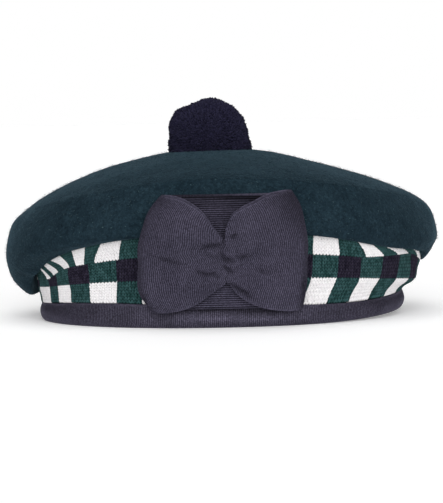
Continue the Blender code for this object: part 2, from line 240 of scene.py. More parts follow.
# How low the cockade keeps light off the binding, and how much light is left by height over that line
FOOT_LINE = curve(
    "across height",
    (-0.040, 0.0110), (-0.020, 0.0096), (-0.001, 0.0084), (0.012, 0.0077), (0.030, 0.0079),
    (0.040, 0.0100),
)
FOOT_LIGHT = curve(
    "over light",
    (-0.0035, 1.0), (-0.0012, 0.68), (0.0, 0.55), (0.0010, 0.36),
)
# How far aside of the cockade's middle that reaches, and over what width it fades
FOOT_REACH = 0.042
FOOT_EASE = 0.004
# How the folded crown above and the wings keep light off the ribbon between them, by height
SHELTER = curve(
    "up shade",
    (-0.0200, 0.0), (0.0100, 0.24), (0.0235, 0.24), (0.0262, 0.46), (0.0300, 0.46),
    (0.0313, 0.20),
)

# Dicing: checks round the band, courses in a check, and wales in a check
CHECKS = 40
WALES = 8
COURSES = 7
ROWS_OF_CHECKS = 3
# The yarn of a check in the bottom, middle and top row, for even and odd checks:
# 0 is white, 1 green, 2 black
CHECK_COLOURS = ((1, 2, 1), (0, 1, 0))

# The crown's points: how many round it, its rows up to a level at its edge and from there on,
# and every how many rows its inside has one
CROWN_AROUND = 384
UNDER_ROWS = 56
EDGE_LEVEL = 11
DOME_ROWS = 92
LINING_STEP = 5

# How the felt hangs in front: its height between the seam and the dome, by level
DROOP = curve(
    "level rise",
    (4, 0.0), (6, -0.045), (7.5, -0.085), (9, -0.02), (10, 0.20), (11, 0.58), (12, 1.0),
)
# The level up to which it hangs, how narrow the pouches at the ends are, and where the front starts
DROOP_TOP_LEVEL = 12
POUCH_SPREAD = 18.0
FRONT_BLEND = 0.30
# How far beside the cockade's middle the felt is kept behind it, over what width that fades,
# how deep, and up to which height
COCKADE_REACH = 0.056
COCKADE_EASE = 0.018
COCKADE_PRESS = 0.0008
PRESS_TOP = 0.08

# How the felt sags behind the left end and rises at the right one, by level
SAG = curve(
    "level share",
    (4, 0.0), (5, 0.55), (6, 0.9), (7, 1.0), (8, 0.95), (9, 0.6), (10, 0.25), (11, 0.05),
    (12, 0.0),
)
SAGS = entries(
    "depth turn width",
    (0.0095, math.pi - 0.36, 0.30),
    (-0.0030, 0.0, 0.30),
)

# How the seam and the felt over it are lifted near the right end, by level
LIFT = curve(
    "level share",
    (1, 0.0), (2, 0.1), (3, 0.5), (4, 1.0), (6, 1.0), (8, 0.8), (9, 0.35), (10, 0.1), (11, 0.0),
)
LIFT_HEIGHT = 0.0052
LIFT_TURN = math.radians(-19)
LIFT_WIDTH = math.radians(14)

# How the dicing's top row is pulled round near both ends, in checks, at its foot and at its top
TOP_ROW_PULL = curve(
    "check low high",
    (0, -0.25, -1.8), (6, 0.0, 0.0), (9, 0.0, 0.0), (17, 5.2, 4.0), (19, 3.8, 2.7),
    (21, 2.5, 1.6), (23, 1.20, 1.05), (24, 0.58, 0.72), (25, 0.05, 0.47), (26, 0.08, 0.30),
    (27, 0.0, 0.08), (29, 0.0, 0.0), (33, 0.0, 0.0), (34, 0.05, -0.10), (35, 0.20, -0.45),
    (36, 0.05, -0.90), (37, -0.15, -1.35), (38, -0.25, -1.65), (40, -0.25, -1.8),
)
# How far the two lower rows are shifted round, in checks
LOW_ROW_SHIFT = curve(
    "check shift",
    (0, 0.0), (20, 0.0), (22, 0.25), (23, -0.07), (24, -0.28), (25, -0.24), (26, -0.04),
    (27, 0.0), (40, 0.0),
)
# How far the top row's foot dips at the left and rises at the right, in rows
TOP_ROW_DIP = curve(
    "check dip",
    (0, -0.35), (2, -0.15), (4, 0.0), (12, 0.0), (20, 0.5), (22.4, 0.5), (23.1, 0.15),
    (23.9, 0.0), (35, 0.0), (36.7, -0.30), (38.3, -0.42), (40, -0.35),
)
# How far the knit laps over the binding: the share of the way round, and metres
LAP = curve(
    "share drop",
    (0.00, 0.0014), (0.10, 0.0), (0.40, 0.0), (0.48, 0.0022), (0.53, 0.0018), (0.58, 0.0002),
    (0.65, -0.0010), (0.72, 0.0), (0.79, 0.0004), (0.84, 0.0019), (0.92, 0.0022), (1.00, 0.0014),
)

# The binding from the top of its outside, down, under the rim and up inside: how far each point lies
# inside the rim's outer line, how high, and how much of the ribs shows there
BINDING_DEPTH = 2 * RIBBON + 2 * GAP + KNIT
BINDING_OUTLINE = curve(
    "inset height ribbed",
    (RIBBON * 0.7, BINDING_HEIGHT - 0.0012, 0.0),
    (RIBBON * 0.75, BINDING_HEIGHT - 0.0002, 0.0),
    (RIBBON * 0.35, BINDING_HEIGHT + 0.0001, 0.0),
    (0.0001, BINDING_HEIGHT - 0.0002, 0.0),
    (0.0, BINDING_HEIGHT - 0.0007, 0.35),
    (0.0, 0.0110, 1.0), (-0.0001, 0.0099, 1.0), (-0.0002, 0.0088, 1.0), (-0.0003, 0.0077, 1.0),
    (-0.0004, 0.0066, 1.0), (-0.0005, 0.0055, 1.0), (-0.0006, 0.0044, 1.0), (-0.0005, 0.0026, 1.0),
    (0.00015, 0.0012, 1.0), (0.0010, 0.0003, 0.8), (0.0024, 0.0, 0.4),
    (BINDING_DEPTH - 0.0012, 0.0, 0.4),
    (BINDING_DEPTH - 0.0003, 0.0008, 0.8),
    (BINDING_DEPTH, 0.0022, 1.0),
    (BINDING_DEPTH, 0.0075, 1.0),
    (BINDING_DEPTH, BINDING_HEIGHT - 0.0003, 0.5),
    (BINDING_DEPTH - RIBBON * 0.7, BINDING_HEIGHT - 0.0002, 0.0),
    (BINDING_DEPTH - RIBBON * 0.7, BINDING_HEIGHT - 0.0016, 0.0),
)
# How far its face waves, how far its top edge rises and falls and from which height on,
# the least height over the floor, and how far it flares at the bonnet's ends
BINDING_WAVES = 0.00022
TOP_WAVES = (0.00018, 0.00012)
TOP_WAVES_FROM = 0.009
OFF_FLOOR = 0.00002
END_FLARE = 0.0009

# Grosgrain ribs: how many round the binding, and their width on the wings and the under-ribbon
BINDING_RIBS = 560
WING_RIB = 0.00105
BACKING_RIB = 0.00118
# Their height, the heights across one rib, and how much colour the painted shade between them leaves
RIB_HEIGHT = 0.00036
BINDING_RIB_HEIGHT = 0.00012
RIB_STEPS = (0.0, 0.8, 1.0, 0.8)
VALLEY_SHADE = 0.12

# Half the width of a leg of yarn, and how much colour the painted shade on the wall between the loops
# leaves
YARN = 0.00052
WALL_SHADE = 0.35
# A leg of a stitch: where it starts and how far it runs, aside in wales and up in courses
LEG_ASIDE = (0.06, 0.36)
LEG_UP = (-0.12, 1.22)
# Its points round it, in degrees, and how much colour its painted shade leaves round it and up it
LEG_PROFILE = (-105, -38, 38, 105)
LEG_SHADE_ROUND = (0.12, 1.0, 1.0, 0.12)
LEG_SHADE_UP = (0.35, 0.95, 1.0, 0.6)
# How far the knit waves in and out, in long and in short waves
BAND_WAVES = (0.00028, 0.00022)
# How far the wall lies behind the loops, how much thinner it is than the knit, and its way in
# behind the binding; its rows behind it and over it, and those of its inside
WALL_SUNK = 0.0003
WALL_THINNER = 0.0004
WALL_TUCK = 0.0002
WALL_TUCKED_ROWS = 4
WALL_ROWS = 43
WALL_INNER_ROWS = [0, 1, 2, 3, *range(5, 47, 3), 46]

# The toorie's strands: how many places are tried, half their width, and the head's share of the size
STRANDS = 12000
STRAND = 0.00056
CORE = 0.9
# Where they start, as a share of the radius, how uneven they are, in tufts and singly, and their bend
STRAND_FROM = 0.8
STRAND_TUFTS = 0.045
STRAND_UNEVEN = 0.012
STRAND_BEND = 0.0007
# Where its cut is fuller or flatter, seen from the front: the turn is in degrees
TOORIE_LOBES = entries(
    "turn rise spread",
    (147, 0.070, 0.05),
    (110, -0.065, 0.03),
    (80, 0.025, 0.04),
    (35, 0.015, 0.05),
    (-5, 0.030, 0.05),
)

# Stray fibres of the felt: how many, their length, half their width, and the grid they are picked from
FIBRES = 12500
FIBRE_LENGTH = 0.0018
FIBRE = 0.00006
FIBRE_GRID = (220, 440)
# How far they are scattered, and how deep their roots lie in the felt
FIBRE_SCATTER = 0.0004
FIBRE_ROOT = 0.0003

# How far the felt's surface waves, at three sizes
FELT_WAVES = entries("size depth", (0.034, 0.00055), (0.009, 0.00016), (0.0022, 0.00006))

# The photograph's camera: where it stands, how it is turned, and where its middle ray goes
CAMERA_REACH = 1.5
CAMERA_RISE = 0.058
CAMERA_AIM_Z = 0.065
CAMERA_ROLL = math.radians(1.15)
PIXEL = 0.00058
IMAGE_SIZE = (443, 503)
AIM_PIXEL = (220.7, 202.1)
SENSOR = 36.0

# Studio: the strength of the surroundings, how they dim towards both sides, and the soft lights
AMBIENT = 0.50
SIDES_FROM = (0.22, 0.72)
SIDES_DIM = 0.08
SUNS = entries(
    "name direction strength angle",
    ("key", (-0.06, 0.95, -0.28), 2.60, 45),
    ("top", (0.05, 0.15, -1.0), 0.95, 60),
)

HALF_CROWN = (CROWN_LENGTH / 2, CROWN_WIDTH / 2)
HALF_HEAD = (HEAD_LENGTH / 2, HEAD_WIDTH / 2)
RISE = CROWN_HEIGHT - BAND_HEIGHT
WING_BASE = COCKADE_SEAT + BACKING_LOOP + WING_SEAT
CROWN_Y = (WING_BASE + WING_LOOP) / 2


# Outline of the bonnet


def head_edges():
    """Where the head opening ends on each side: front, right, back, left."""
    x, y = HALF_HEAD
    middle_y = CROWN_Y + HEAD_SHIFT_Y
    return np.array([-y, x, y, -x]) + [middle_y, HEAD_SHIFT_X, middle_y, HEAD_SHIFT_X]


def crown_edges(span=1.0):
    """Where the crown ends on each side, or a share of it: front, right, back, left."""
    x, y = HALF_CROWN
    return span * np.array([-y, x, y, -x]) + [CROWN_Y, 0.0, CROWN_Y, 0.0]


def level_table():
    """Every level as a row: four edges, four heights and the grip, from the rim to the summit."""
    head = head_edges()
    reach = crown_edges() - head
    lift = np.array([0.0, RIM_LIFT, 0.0, 0.0])
    rows = [[*head, *lift, RIM_GRIP], [*head, *(lift + BINDING_HEIGHT), RIM_GRIP]]
    for level in BAND_LEVELS + UNDER_LEVELS + DOME_LEVELS:
        up = np.array(level["up"])
        heights = BAND_HEIGHT * up if level in BAND_LEVELS else BAND_HEIGHT + RISE * up
        if "span" in level:
            edges = crown_edges(level["span"])
        else:
            edges = head + reach * np.array(level["out"])
        rows.append([*edges, *heights, level["grip"]])
    return np.array(rows)


LEVELS = level_table()
BINDING_TOP_LEVEL = 1
BAND_TOP_LEVEL = BINDING_TOP_LEVEL + len(BAND_LEVELS)
SUMMIT_LEVEL = len(LEVELS) - 1
EDGE_LOW_LEVEL = BAND_TOP_LEVEL + len(UNDER_LEVELS) - 1
TOP_ROW_LEVEL = BINDING_TOP_LEVEL + ROWS_OF_CHECKS - 1


def smooth_rows(rows, where):
    """Catmull-Rom values of a table's columns at fractional row numbers."""
    where = np.asarray(where, float)
    last = len(rows) - 1
    at = np.clip(np.floor(where), 0, last - 1).astype(int)
    part = (where - at)[..., None]
    before, start, end, after = (rows[np.clip(at + k, 0, last)] for k in (-1, 0, 1, 2))
    return 0.5 * (
        2 * start
        + (end - before) * part
        + (2 * before - 5 * start + 4 * end - after) * part**2
        + (3 * start - before - 3 * end + after) * part**3
    )


def straight(table, name, where):
    """A column of a table, read in straight lines along the table's first column."""
    return np.interp(where, next(iter(table.values())), table[name])


def smooth(table, name, where):
    """The same on a smooth curve through the table's rows."""
    xs, ys = next(iter(table.values())), table[name]
    slopes = np.gradient(ys, xs)
    where = np.clip(where, xs[0], xs[-1])
    at = np.clip(np.searchsorted(xs, where, side="right") - 1, 0, len(xs) - 2)
    width = xs[at + 1] - xs[at]
    s = (where - xs[at]) / width
    return (
        (2 * s**3 - 3 * s**2 + 1) * ys[at]
        + (s**3 - 2 * s**2 + s) * width * slopes[at]
        + (3 * s**2 - 2 * s**3) * ys[at + 1]
        + (s**3 - s**2) * width * slopes[at + 1]
    )


def unit(vectors):
    """The vectors at length one."""
    return vectors / np.linalg.norm(vectors, axis=-1, keepdims=True)


def oval(level, angle):
    """Points of the oval at a fractional level, and the outward normal of the oval in plan."""
    row = smooth_rows(LEVELS, level)
    front, right, back, left = (row[..., k] for k in range(4))
    heights, grip = row[..., 4:8], row[..., 8]
    c, s = np.cos(angle), np.sin(angle)
    half_x, half_y = (right - left) / 2, (back - front) / 2
    side = np.abs(c) ** grip
    side_height = np.where(c > 0, heights[..., 1], heights[..., 3])
    end_height = np.where(s > 0, heights[..., 2], heights[..., 0])
    x = (right + left) / 2 + half_x * c
    y = (back + front) / 2 + half_y * s
    z = side * side_height + (1 - side) * end_height
    normal = np.stack(np.broadcast_arrays(c * half_y, s * half_x, 0 * z), -1)
    length = np.linalg.norm(normal, axis=-1, keepdims=True)
    return np.stack([x, y, z], -1), normal / np.maximum(length, 1e-9)


def heights_of(level, angle):
    """How high the oval lies at a fractional level, at each angle."""
    return oval(level, angle)[0][..., 2]


def whole(level, levels):
    """One level as often as there are values in levels."""
    return np.full(levels.shape, float(level))


# The rim's length, added up in fine steps round it
FINE_ANGLES = np.linspace(0, 2 * math.pi, 7201)
FINE_RUN = np.hypot(HALF_HEAD[0] * np.sin(FINE_ANGLES), HALF_HEAD[1] * np.cos(FINE_ANGLES))
FINE_SHARES = np.concatenate([[0], np.cumsum((FINE_RUN[1:] + FINE_RUN[:-1]) / 2)])
FINE_SHARES /= FINE_SHARES[-1]


def angle_at(share):
    """The angle that lies a share of the rim's length round from +X."""
    share = np.asarray(share, float)
    return np.interp(share % 1.0, FINE_SHARES, FINE_ANGLES)


def front_line(level, x):
    """y and z of the front of a level at each x."""
    row = LEVELS[level]
    middle, half = (row[1] + row[3]) / 2, (row[1] - row[3]) / 2
    point, _ = oval(whole(level, x), -np.arccos(np.clip((x - middle) / half, -1, 1)))
    return point[..., 1], point[..., 2]


def front_depth(x, z):
    """The y of the straight slope that bridges the front, from the binding to the crown's edge."""
    x, z = np.broadcast_arrays(np.asarray(x, float), np.asarray(z, float))
    foot_y, _ = front_line(0, x)
    edge_y, edge_z = front_line(EDGE_LOW_LEVEL, x)
    foot_z = COCKADE_Z - COCKADE_HEIGHT / 2
    return foot_y + (edge_y - foot_y) * (z - foot_z) / (edge_z - foot_z)


def laid(x, z, lift):
    """Points that stand off the bonnet's front by lift, square to its slope."""
    step = 0.0005
    y = front_depth(x, z)
    slope_x = (front_depth(x + step, z) - front_depth(x - step, z)) / (2 * step)
    slope_z = (front_depth(x, z + step) - front_depth(x, z - step)) / (2 * step)
    normal = unit(np.stack([slope_x, -np.ones_like(y), slope_z], -1))
    return np.stack([*np.broadcast_arrays(x, y, z)], -1) + normal * np.asarray(lift)[..., None]


def crown_top_height(x, y):
    """Height of the crown's upper surface over a point."""
    across, along = x / HALF_CROWN[0], (y - CROWN_Y) / HALF_CROWN[1]
    out = np.hypot(across, along)
    spans = np.array([level["span"] for level in DOME_LEVELS])
    numbers = np.arange(len(LEVELS) - len(spans), len(LEVELS))
    level = np.interp(-out, -spans, numbers)
    height = heights_of(level, np.arctan2(along, across))
    inside = np.clip(1 - out / spans[-1], 0, 1)
    return height + (CROWN_HEIGHT - height) * inside


# Meshes


def ripple(points, size, seed):
    """Smooth noise between -1 and 1 at each point, with waves of about the given size."""
    shift = Vector((seed * 7.31, seed * 3.17, seed * 5.73))
    flat = np.asarray(points).reshape(-1, 3) / size
    values = np.array([noise.noise(Vector(p) + shift) for p in flat.tolist()])
    return values.reshape(np.asarray(points).shape[:-1])


def quads(rows, count, closed):
    """Corner numbers of the quads of a grid of points, row after row, closed round or open."""
    across = np.arange(count if closed else count - 1)
    row, col = np.meshgrid(np.arange(rows - 1), across, indexing="ij")
    here, after = row * count + col, row * count + (col + 1) % count
    return np.stack([here, after, after + count, here + count], -1).reshape(-1, 4)


def repeated(corners, count, points):
    """The same faces for each of many small shapes with so many points each, one after the other."""
    corners = np.array(corners)
    shift = np.arange(count)[:, None, None] * points
    return (corners[None] + shift).reshape(-1, corners.shape[1])


def mesh_piece(name, points, faces, finishes, face_finish=None, shade=None):
    """A smooth-shaded object from arrays. faces may hold arrays of quads and of triangles.

    shade is painted shade: how much of its colour each point shows, less in the depths between threads.
    """
    mesh = bpy.data.meshes.new(name)
    groups = [np.asarray(group, dtype=np.int32) for group in faces]
    sizes = np.concatenate([np.full(len(group), group.shape[1], dtype=np.int32) for group in groups])
    corners = np.concatenate([group.ravel() for group in groups])
    points = np.asarray(points, dtype=np.float32).reshape(-1, 3)
    mesh.vertices.add(len(points))
    mesh.vertices.foreach_set("co", points.ravel())
    mesh.loops.add(len(corners))
    mesh.loops.foreach_set("vertex_index", corners)
    mesh.polygons.add(len(sizes))
    starts = np.concatenate([[0], np.cumsum(sizes)[:-1]]).astype(np.int32)
    mesh.polygons.foreach_set("loop_start", starts)
    for finish in finishes:
        mesh.materials.append(finish)
    if face_finish is not None:
        mesh.polygons.foreach_set("material_index", np.asarray(face_finish, dtype=np.int32))
    if shade is not None:
        layer = mesh.attributes.new("shade", "FLOAT", "POINT")
        layer.data.foreach_set("value", np.asarray(shade, dtype=np.float32).ravel())
    mesh.update(calc_edges=True)
    mesh.validate()
    mesh.shade_smooth()
    made = bpy.data.objects.new(name, mesh)
    bpy.context.scene.collection.objects.link(made)
    return made


def grid_normals(grid, closed):
    """Unit normals of a grid of points, from its rows and columns."""
    along = np.gradient(grid, axis=0)
    if closed:
        across = np.roll(grid, -1, axis=1) - np.roll(grid, 1, axis=1)
    else:
        across = np.gradient(grid, axis=1)
    normal = np.cross(across, along)
    return normal / np.maximum(np.linalg.norm(normal, axis=-1, keepdims=True), 1e-12)


def fit_out(piece, slot, *nodes):
    """Binds a piece to the body, and hides the solids it stands for; slot is not used."""
    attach(piece, "root")
    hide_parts(*nodes)


# Finishes


class Nodes:
    """A short way to build a material's nodes. Its methods give back a node's output."""

    def __init__(self, name):
        self.made = bpy.data.materials.new(name)
        self.made.use_nodes = True
        self.tree = self.made.node_tree
        self.shader = self.tree.nodes["Principled BSDF"]
        self.place = self.new("ShaderNodeTexCoord").outputs["Object"]

    def new(self, kind, **settings):
        node = self.tree.nodes.new(kind)
        for key, value in settings.items():
            setattr(node, key, value)
        return node

    def link(self, start, end):
        self.tree.links.new(start, end)

    def fill(self, sockets, values):
        """Gives each socket a number, a colour or another node's output."""
        for socket, value in zip(sockets, values):
            if isinstance(value, bpy.types.NodeSocket):
                self.link(value, socket)
            else:
                socket.default_value = (*value, 1) if isinstance(value, tuple) else value

    def set(self, **values):
        for key, value in values.items():
            self.shader.inputs[key.replace("_", " ")].default_value = value

    def stretched(self, scale):
        node = self.new("ShaderNodeMapping")
        node.inputs["Scale"].default_value = scale
        self.link(self.place, node.inputs["Vector"])
        return node.outputs["Vector"]

    def noise(self, scale, detail=3.0, rough=0.55, where=None):
        node = self.new("ShaderNodeTexNoise")
        sockets = [node.inputs[name] for name in ("Vector", "Scale", "Detail", "Roughness")]
        self.fill(sockets, (where or self.place, scale, detail, rough))
        return node.outputs["Fac"]

    def ramp(self, value, *stops):
        """Colours by a value. A stop is a place and a colour, or one number for a grey."""
        node = self.new("ShaderNodeValToRGB")
        ramp = node.color_ramp
        while len(ramp.elements) < len(stops):
            ramp.elements.new(0.5)
        for element, (place, colour) in zip(ramp.elements, stops):
            element.position = place
            element.color = (*np.broadcast_to(colour, 3), 1)
        self.link(value, node.inputs["Fac"])
        return node.outputs["Color"]

    def maths(self, kind, first, second):
        node = self.new("ShaderNodeMath", operation=kind)
        self.fill(node.inputs[:2], (first, second))
        return node.outputs["Value"]

    def mix(self, share, first, second, kind="MIX"):
        node = self.new("ShaderNodeMix", data_type="RGBA", blend_type=kind)
        self.fill([node.inputs[k] for k in (0, 6, 7)], (share, first, second))
        return node.outputs[2]

    def times(self, colour, *others):
        """A colour multiplied by others in turn."""
        for other in others:
            colour = self.mix(1.0, colour, other, "MULTIPLY")
        return colour

    def island(self):
        """A random value for each loose part of the mesh."""
        return self.new("ShaderNodeNewGeometry").outputs["Random Per Island"]

    def bump(self, height, strength, distance):
        node = self.new("ShaderNodeBump")
        sockets = [node.inputs[name] for name in ("Height", "Strength", "Distance")]
        self.fill(sockets, (height, strength, distance))
        self.link(node.outputs["Normal"], self.shader.inputs["Normal"])

    def shaded(self, value, share=1.0):
        # The painted shade held in the shade attribute, multiplied into the colour
        depth = self.new("ShaderNodeAttribute", attribute_name="shade").outputs["Fac"]
        return self.mix(share, value, depth, "MULTIPLY")

    def colour(self, value):
        self.link(value, self.shader.inputs["Base Color"])


def felt_finish():
    """Milled wool felt: two close greens, mottled fibre, pale flecks and a fine nap."""
    n = Nodes("bottle_green_felt")
    dark, light = (0.0088, 0.0192, 0.0272), (0.0128, 0.0262, 0.0362)
    cloud = n.ramp(n.noise(38, 4), (0.30, dark), (0.72, light))
    tufts = n.ramp(n.noise(620, 3, 0.65), (0.32, (0.62, 0.64, 0.66)), (0.68, (1.36, 1.34, 1.32)))
    grain = n.ramp(n.noise(1900, 3, 0.6), (0.32, 0.66), (0.70, 1.30))
    drift = n.ramp(n.noise(170, 3, 0.6), (0.32, (0.78, 0.80, 0.82)), (0.68, (1.20, 1.18, 1.16)))
    base = n.times(cloud, drift, tufts, grain)
    hairs = n.noise(1.0, 1, 0.5, n.stretched((1250, 420, 1150)))
    hairs_across = n.noise(1.0, 1, 0.5, n.stretched((380, 1200, 1350)))
    flecks = n.maths("MAXIMUM", hairs, hairs_across)
    pale = n.ramp(flecks, (0.74, 0), (0.80, 1))
    n.colour(n.mix(pale, base, (0.055, 0.098, 0.110)))
    n.set(Roughness=0.95, Sheen_Weight=0.105, Sheen_Roughness=0.28, Sheen_Tint=(0.45, 0.78, 1.0, 1))
    n.set(Specular_IOR_Level=0.03)
    n.bump(n.maths("ADD", n.noise(900, 4, 0.65), flecks), 0.6, 0.0005)
    return n.made


def yarn_finish(name, dark, light, depth):
    """Knitting yarn: a colour that drifts from loop to loop, with its ply and stray hairs, and as much
    painted shade between the loops as depth says.
    """
    n = Nodes(name)
    loops = n.maths("MULTIPLY", n.island(), 0.5)
    drift = n.maths("ADD", loops, n.maths("MULTIPLY", n.noise(260, 2), 0.5))
    base = n.ramp(drift, (0.25, dark), (0.80, light))
    hairs = n.ramp(n.noise(4200, 2, 0.6), (0.30, 0.72), (0.72, 1.15))
    n.colour(n.shaded(n.times(base, hairs), depth))
    n.set(Roughness=0.9, Sheen_Weight=0.01, Sheen_Roughness=0.5, Specular_IOR_Level=0.04)
    n.bump(n.noise(3800, 3, 0.6), 0.45, 0.00025)
    return n.made


def ribbon_finish(name, dark, light, lustre=0.0, rough=(0.80, 0.68)):
    """Grosgrain: charcoal thread with a low satin gloss, slubs, faint wear and crossing threads."""
    n = Nodes(name)
    worn = n.noise(55, 4, 0.6)
    base = n.ramp(worn, (0.30, dark), (0.75, light))
    slubs = n.ramp(n.noise(1150, 2, 0.5), (0.33, 0.66), (0.67, 1.34))
    threads = n.ramp(n.noise(3600, 2, 0.5), (0.30, 0.62), (0.72, 1.30))
    # Painted shade from the shade attribute: between the ribs, in the creases and under the cockade
    n.colour(n.shaded(n.times(base, slubs, threads)))
    n.link(n.ramp(worn, (0.3, rough[0]), (0.8, rough[1])), n.shader.inputs["Roughness"])
    n.set(Metallic=lustre, Specular_IOR_Level=0.05, Specular_Tint=(0.86, 0.84, 1.0, 1))
    n.bump(n.noise(3000, 2, 0.6), 0.35, 0.00015)
    return n.made


def fibre_finish():
    """Loose wool fibres: the felt's green, some of them paler."""
    n = Nodes("green_fibre")
    dark, light, pale = (0.0100, 0.0250, 0.0330), (0.0180, 0.0400, 0.0500), (0.075, 0.115, 0.120)
    n.colour(n.ramp(n.island(), (0.0, dark), (0.80, light), (0.97, pale)))
    n.set(Roughness=0.9, Specular_IOR_Level=0.05)
    return n.made


def wool_finish():
    """Cut wool: blue-black, each strand a little different, with short fine hairs."""
    n = Nodes("blue_black_wool")
    base = n.ramp(n.island(), (0.0, (0.0096, 0.0090, 0.0222)), (1.0, (0.0212, 0.0201, 0.0445)))
    hairs = n.ramp(n.noise(3500, 2, 0.6), (0.30, 0.6), (0.72, 1.4))
    n.colour(n.times(base, hairs))
    n.set(Roughness=0.95, Sheen_Weight=0.03, Sheen_Roughness=0.5, Sheen_Tint=(0.75, 0.75, 1.0, 1))
    n.set(Specular_IOR_Level=0.05)
    n.bump(n.noise(2600, 3, 0.6), 0.5, 0.0003)
    return n.made


def floor_finish():
    """Matt pale studio floor."""
    n = Nodes("pale_floor")
    n.colour(n.ramp(n.noise(3, 3), (0.3, (0.90, 0.90, 0.905)), (0.7, (0.92, 0.92, 0.925))))
    n.set(Roughness=0.9, Emission_Color=(1, 1, 1, 1), Emission_Strength=0.28)
    return n.made


# Crown


def bell(angle, turn, width):
    """A soft bump, one high, round an angle."""
    off = (angle - turn + math.pi) % (2 * math.pi) - math.pi
    return np.exp(-((off / width) ** 2))


def lifted(level, angle):
    """How far the seam and the felt over it stand higher near the right end."""
    return LIFT_HEIGHT * bell(angle, LIFT_TURN, LIFT_WIDTH) * smooth(LIFT, "share", level)


def crown_grid(levels, around=CROWN_AROUND):
    """The crown's surface, with its fold hanging over the seam in front and over the ears."""
    levels = np.asarray(levels, float)[:, None]
    angles = angle_at(np.arange(around) / around)[None, :]
    points, _ = oval(levels, angles)
    across = np.cos(angles)
    rise = smooth(DROOP, "rise", levels)
    rise = np.maximum(rise, 0) + np.minimum(rise, 0) * (0.65 + 0.35 * across)
    three = (levels, whole(BAND_TOP_LEVEL, levels), whole(DROOP_TOP_LEVEL, levels))
    _, seam, dome = (heights_of(rows, angles) for rows in three)
    hung = seam + (dome - seam) * rise
    for turn, sign in ((math.pi, -1), (0.0, 1)):
        end, seam, dome = (heights_of(rows, np.array([[turn]])) for rows in three)
        pouch = end - (seam + (dome - seam) * rise)
        hung = hung + pouch * np.clip(across * sign, 0, 1) ** POUCH_SPREAD
    front = np.clip(-np.sin(angles) / FRONT_BLEND, 0, 1) ** 2
    front = front * (levels < DROOP_TOP_LEVEL)
    points[..., 2] += (hung - points[..., 2]) * front
    beside = np.clip((COCKADE_REACH - np.abs(points[..., 0] - COCKADE_X)) / COCKADE_EASE, 0, 1)
    within = np.clip(points[..., 0], -COCKADE_REACH, COCKADE_REACH)
    pressed = front_depth(within, points[..., 2]) + COCKADE_PRESS
    held = beside * beside * (3 - 2 * beside) * (points[..., 1] < 0) * (points[..., 2] < PRESS_TOP)
    points[..., 1] += np.maximum(pressed - points[..., 1], 0) * held
    for sag in SAGS:
        deep = sag["depth"] * bell(angles, sag["turn"], sag["width"])
        points[..., 2] -= deep * smooth(SAG, "share", levels)
    points[..., 2] += lifted(levels, angles)
    return points


def build_crown(finish):
    """The felt crown: a fine skin outside, a plainer one inside, joined round the seam."""
    under = np.linspace(BAND_TOP_LEVEL + SEAM_CLEARANCE, EDGE_LEVEL, UNDER_ROWS)
    dome = np.linspace(EDGE_LEVEL, SUMMIT_LEVEL, DOME_ROWS)[1:]
    levels = np.concatenate([under, dome])
    outer = crown_grid(levels)
    centre = np.array([0.0, CROWN_Y, CROWN_HEIGHT])
    shrink = np.array([0.75, 0.5, 0.28, 0.1])[:, None, None]
    cap = centre + (outer[-1][None] - centre) * shrink
    cap[..., 2] = outer[-1, :, 2] + (CROWN_HEIGHT - outer[-1, :, 2]) * (1 - shrink[..., 0] ** 2)
    outer = np.concatenate([outer, cap])
    normals = grid_normals(outer, closed=True)
    waves = sum(ripple(outer, w["size"], k + 1) * w["depth"] for k, w in enumerate(FELT_WAVES))
    seam = np.clip((levels - levels[0]) / 1.5, 0, 1)
    hold = np.concatenate([seam, np.ones(len(cap))])[:, None, None]
    skin = outer + normals * waves[..., None] * hold
    lining = (outer - normals * FELT)[::LINING_STEP]
    rows = np.concatenate([lining[::-1], skin])
    faces = quads(len(rows), CROWN_AROUND, closed=True)
    points = [*rows.reshape(-1, 3), centre - [0, 0, FELT], centre]
    total = rows.shape[0] * CROWN_AROUND
    ring = np.arange(CROWN_AROUND)
    after = (ring + 1) % CROWN_AROUND
    last = total - CROWN_AROUND
    bottom = np.stack([after, ring, np.full(CROWN_AROUND, total)], -1)
    top = np.stack([last + ring, last + after, np.full(CROWN_AROUND, total + 1)], -1)
    crown = mesh_piece("crown_felt", np.array(points), [faces, bottom, top], [finish])
    fit_out(crown, "felt", "crown")


def build_fuzz(finish):
    """Short stray fibres that stand out of the felt all over."""
    random = np.random.default_rng(23)
    rows, around = FIBRE_GRID
    grid = crown_grid(np.linspace(BAND_TOP_LEVEL + 0.6, SUMMIT_LEVEL - 0.2, rows), around)
    normal = grid_normals(grid, closed=True)
    along = np.linalg.norm(np.gradient(grid, axis=0), axis=-1)
    across = np.linalg.norm(np.roll(grid, -1, axis=1) - grid, axis=-1)
    chance = (along * across).ravel()
    picked = random.choice(chance.size, FIBRES, p=chance / chance.sum(), replace=True)
    root, out = grid.reshape(-1, 3)[picked], normal.reshape(-1, 3)[picked]
    root = root + random.normal(0, FIBRE_SCATTER, root.shape)
    side = unit(np.cross(out, random.normal(0, 1, out.shape)))
    reach = random.uniform(0.5, 1.0, (FIBRES, 1)) * FIBRE_LENGTH
    rise = random.uniform(0.02, 0.30, (FIBRES, 1))
    curl = random.normal(0, 0.3, (FIBRES, 1))
    bend = np.cross(out, side)
    middle = root + out * reach * 0.17 + side * reach * 0.5
    tip = root + out * reach * rise + side * reach + bend * reach * curl
    root = root - out * FIBRE_ROOT
    thick = FIBRE * bend
    ridge = middle + out * FIBRE * 1.6
    points = np.stack([root - thick, root + thick, middle - thick, middle + thick, ridge, tip], 1)
    ends = [[2, 3, 5], [3, 4, 5], [4, 2, 5], [0, 4, 1], [0, 2, 4], [1, 4, 3]]
    faces = [repeated([[0, 1, 3, 2]], FIBRES, 6), repeated(ends, FIBRES, 6)]
    fuzz = mesh_piece("crown_fuzz", points.reshape(-1, 3), faces, [finish])
    fit_out(fuzz, "felt", "crown")


# Band


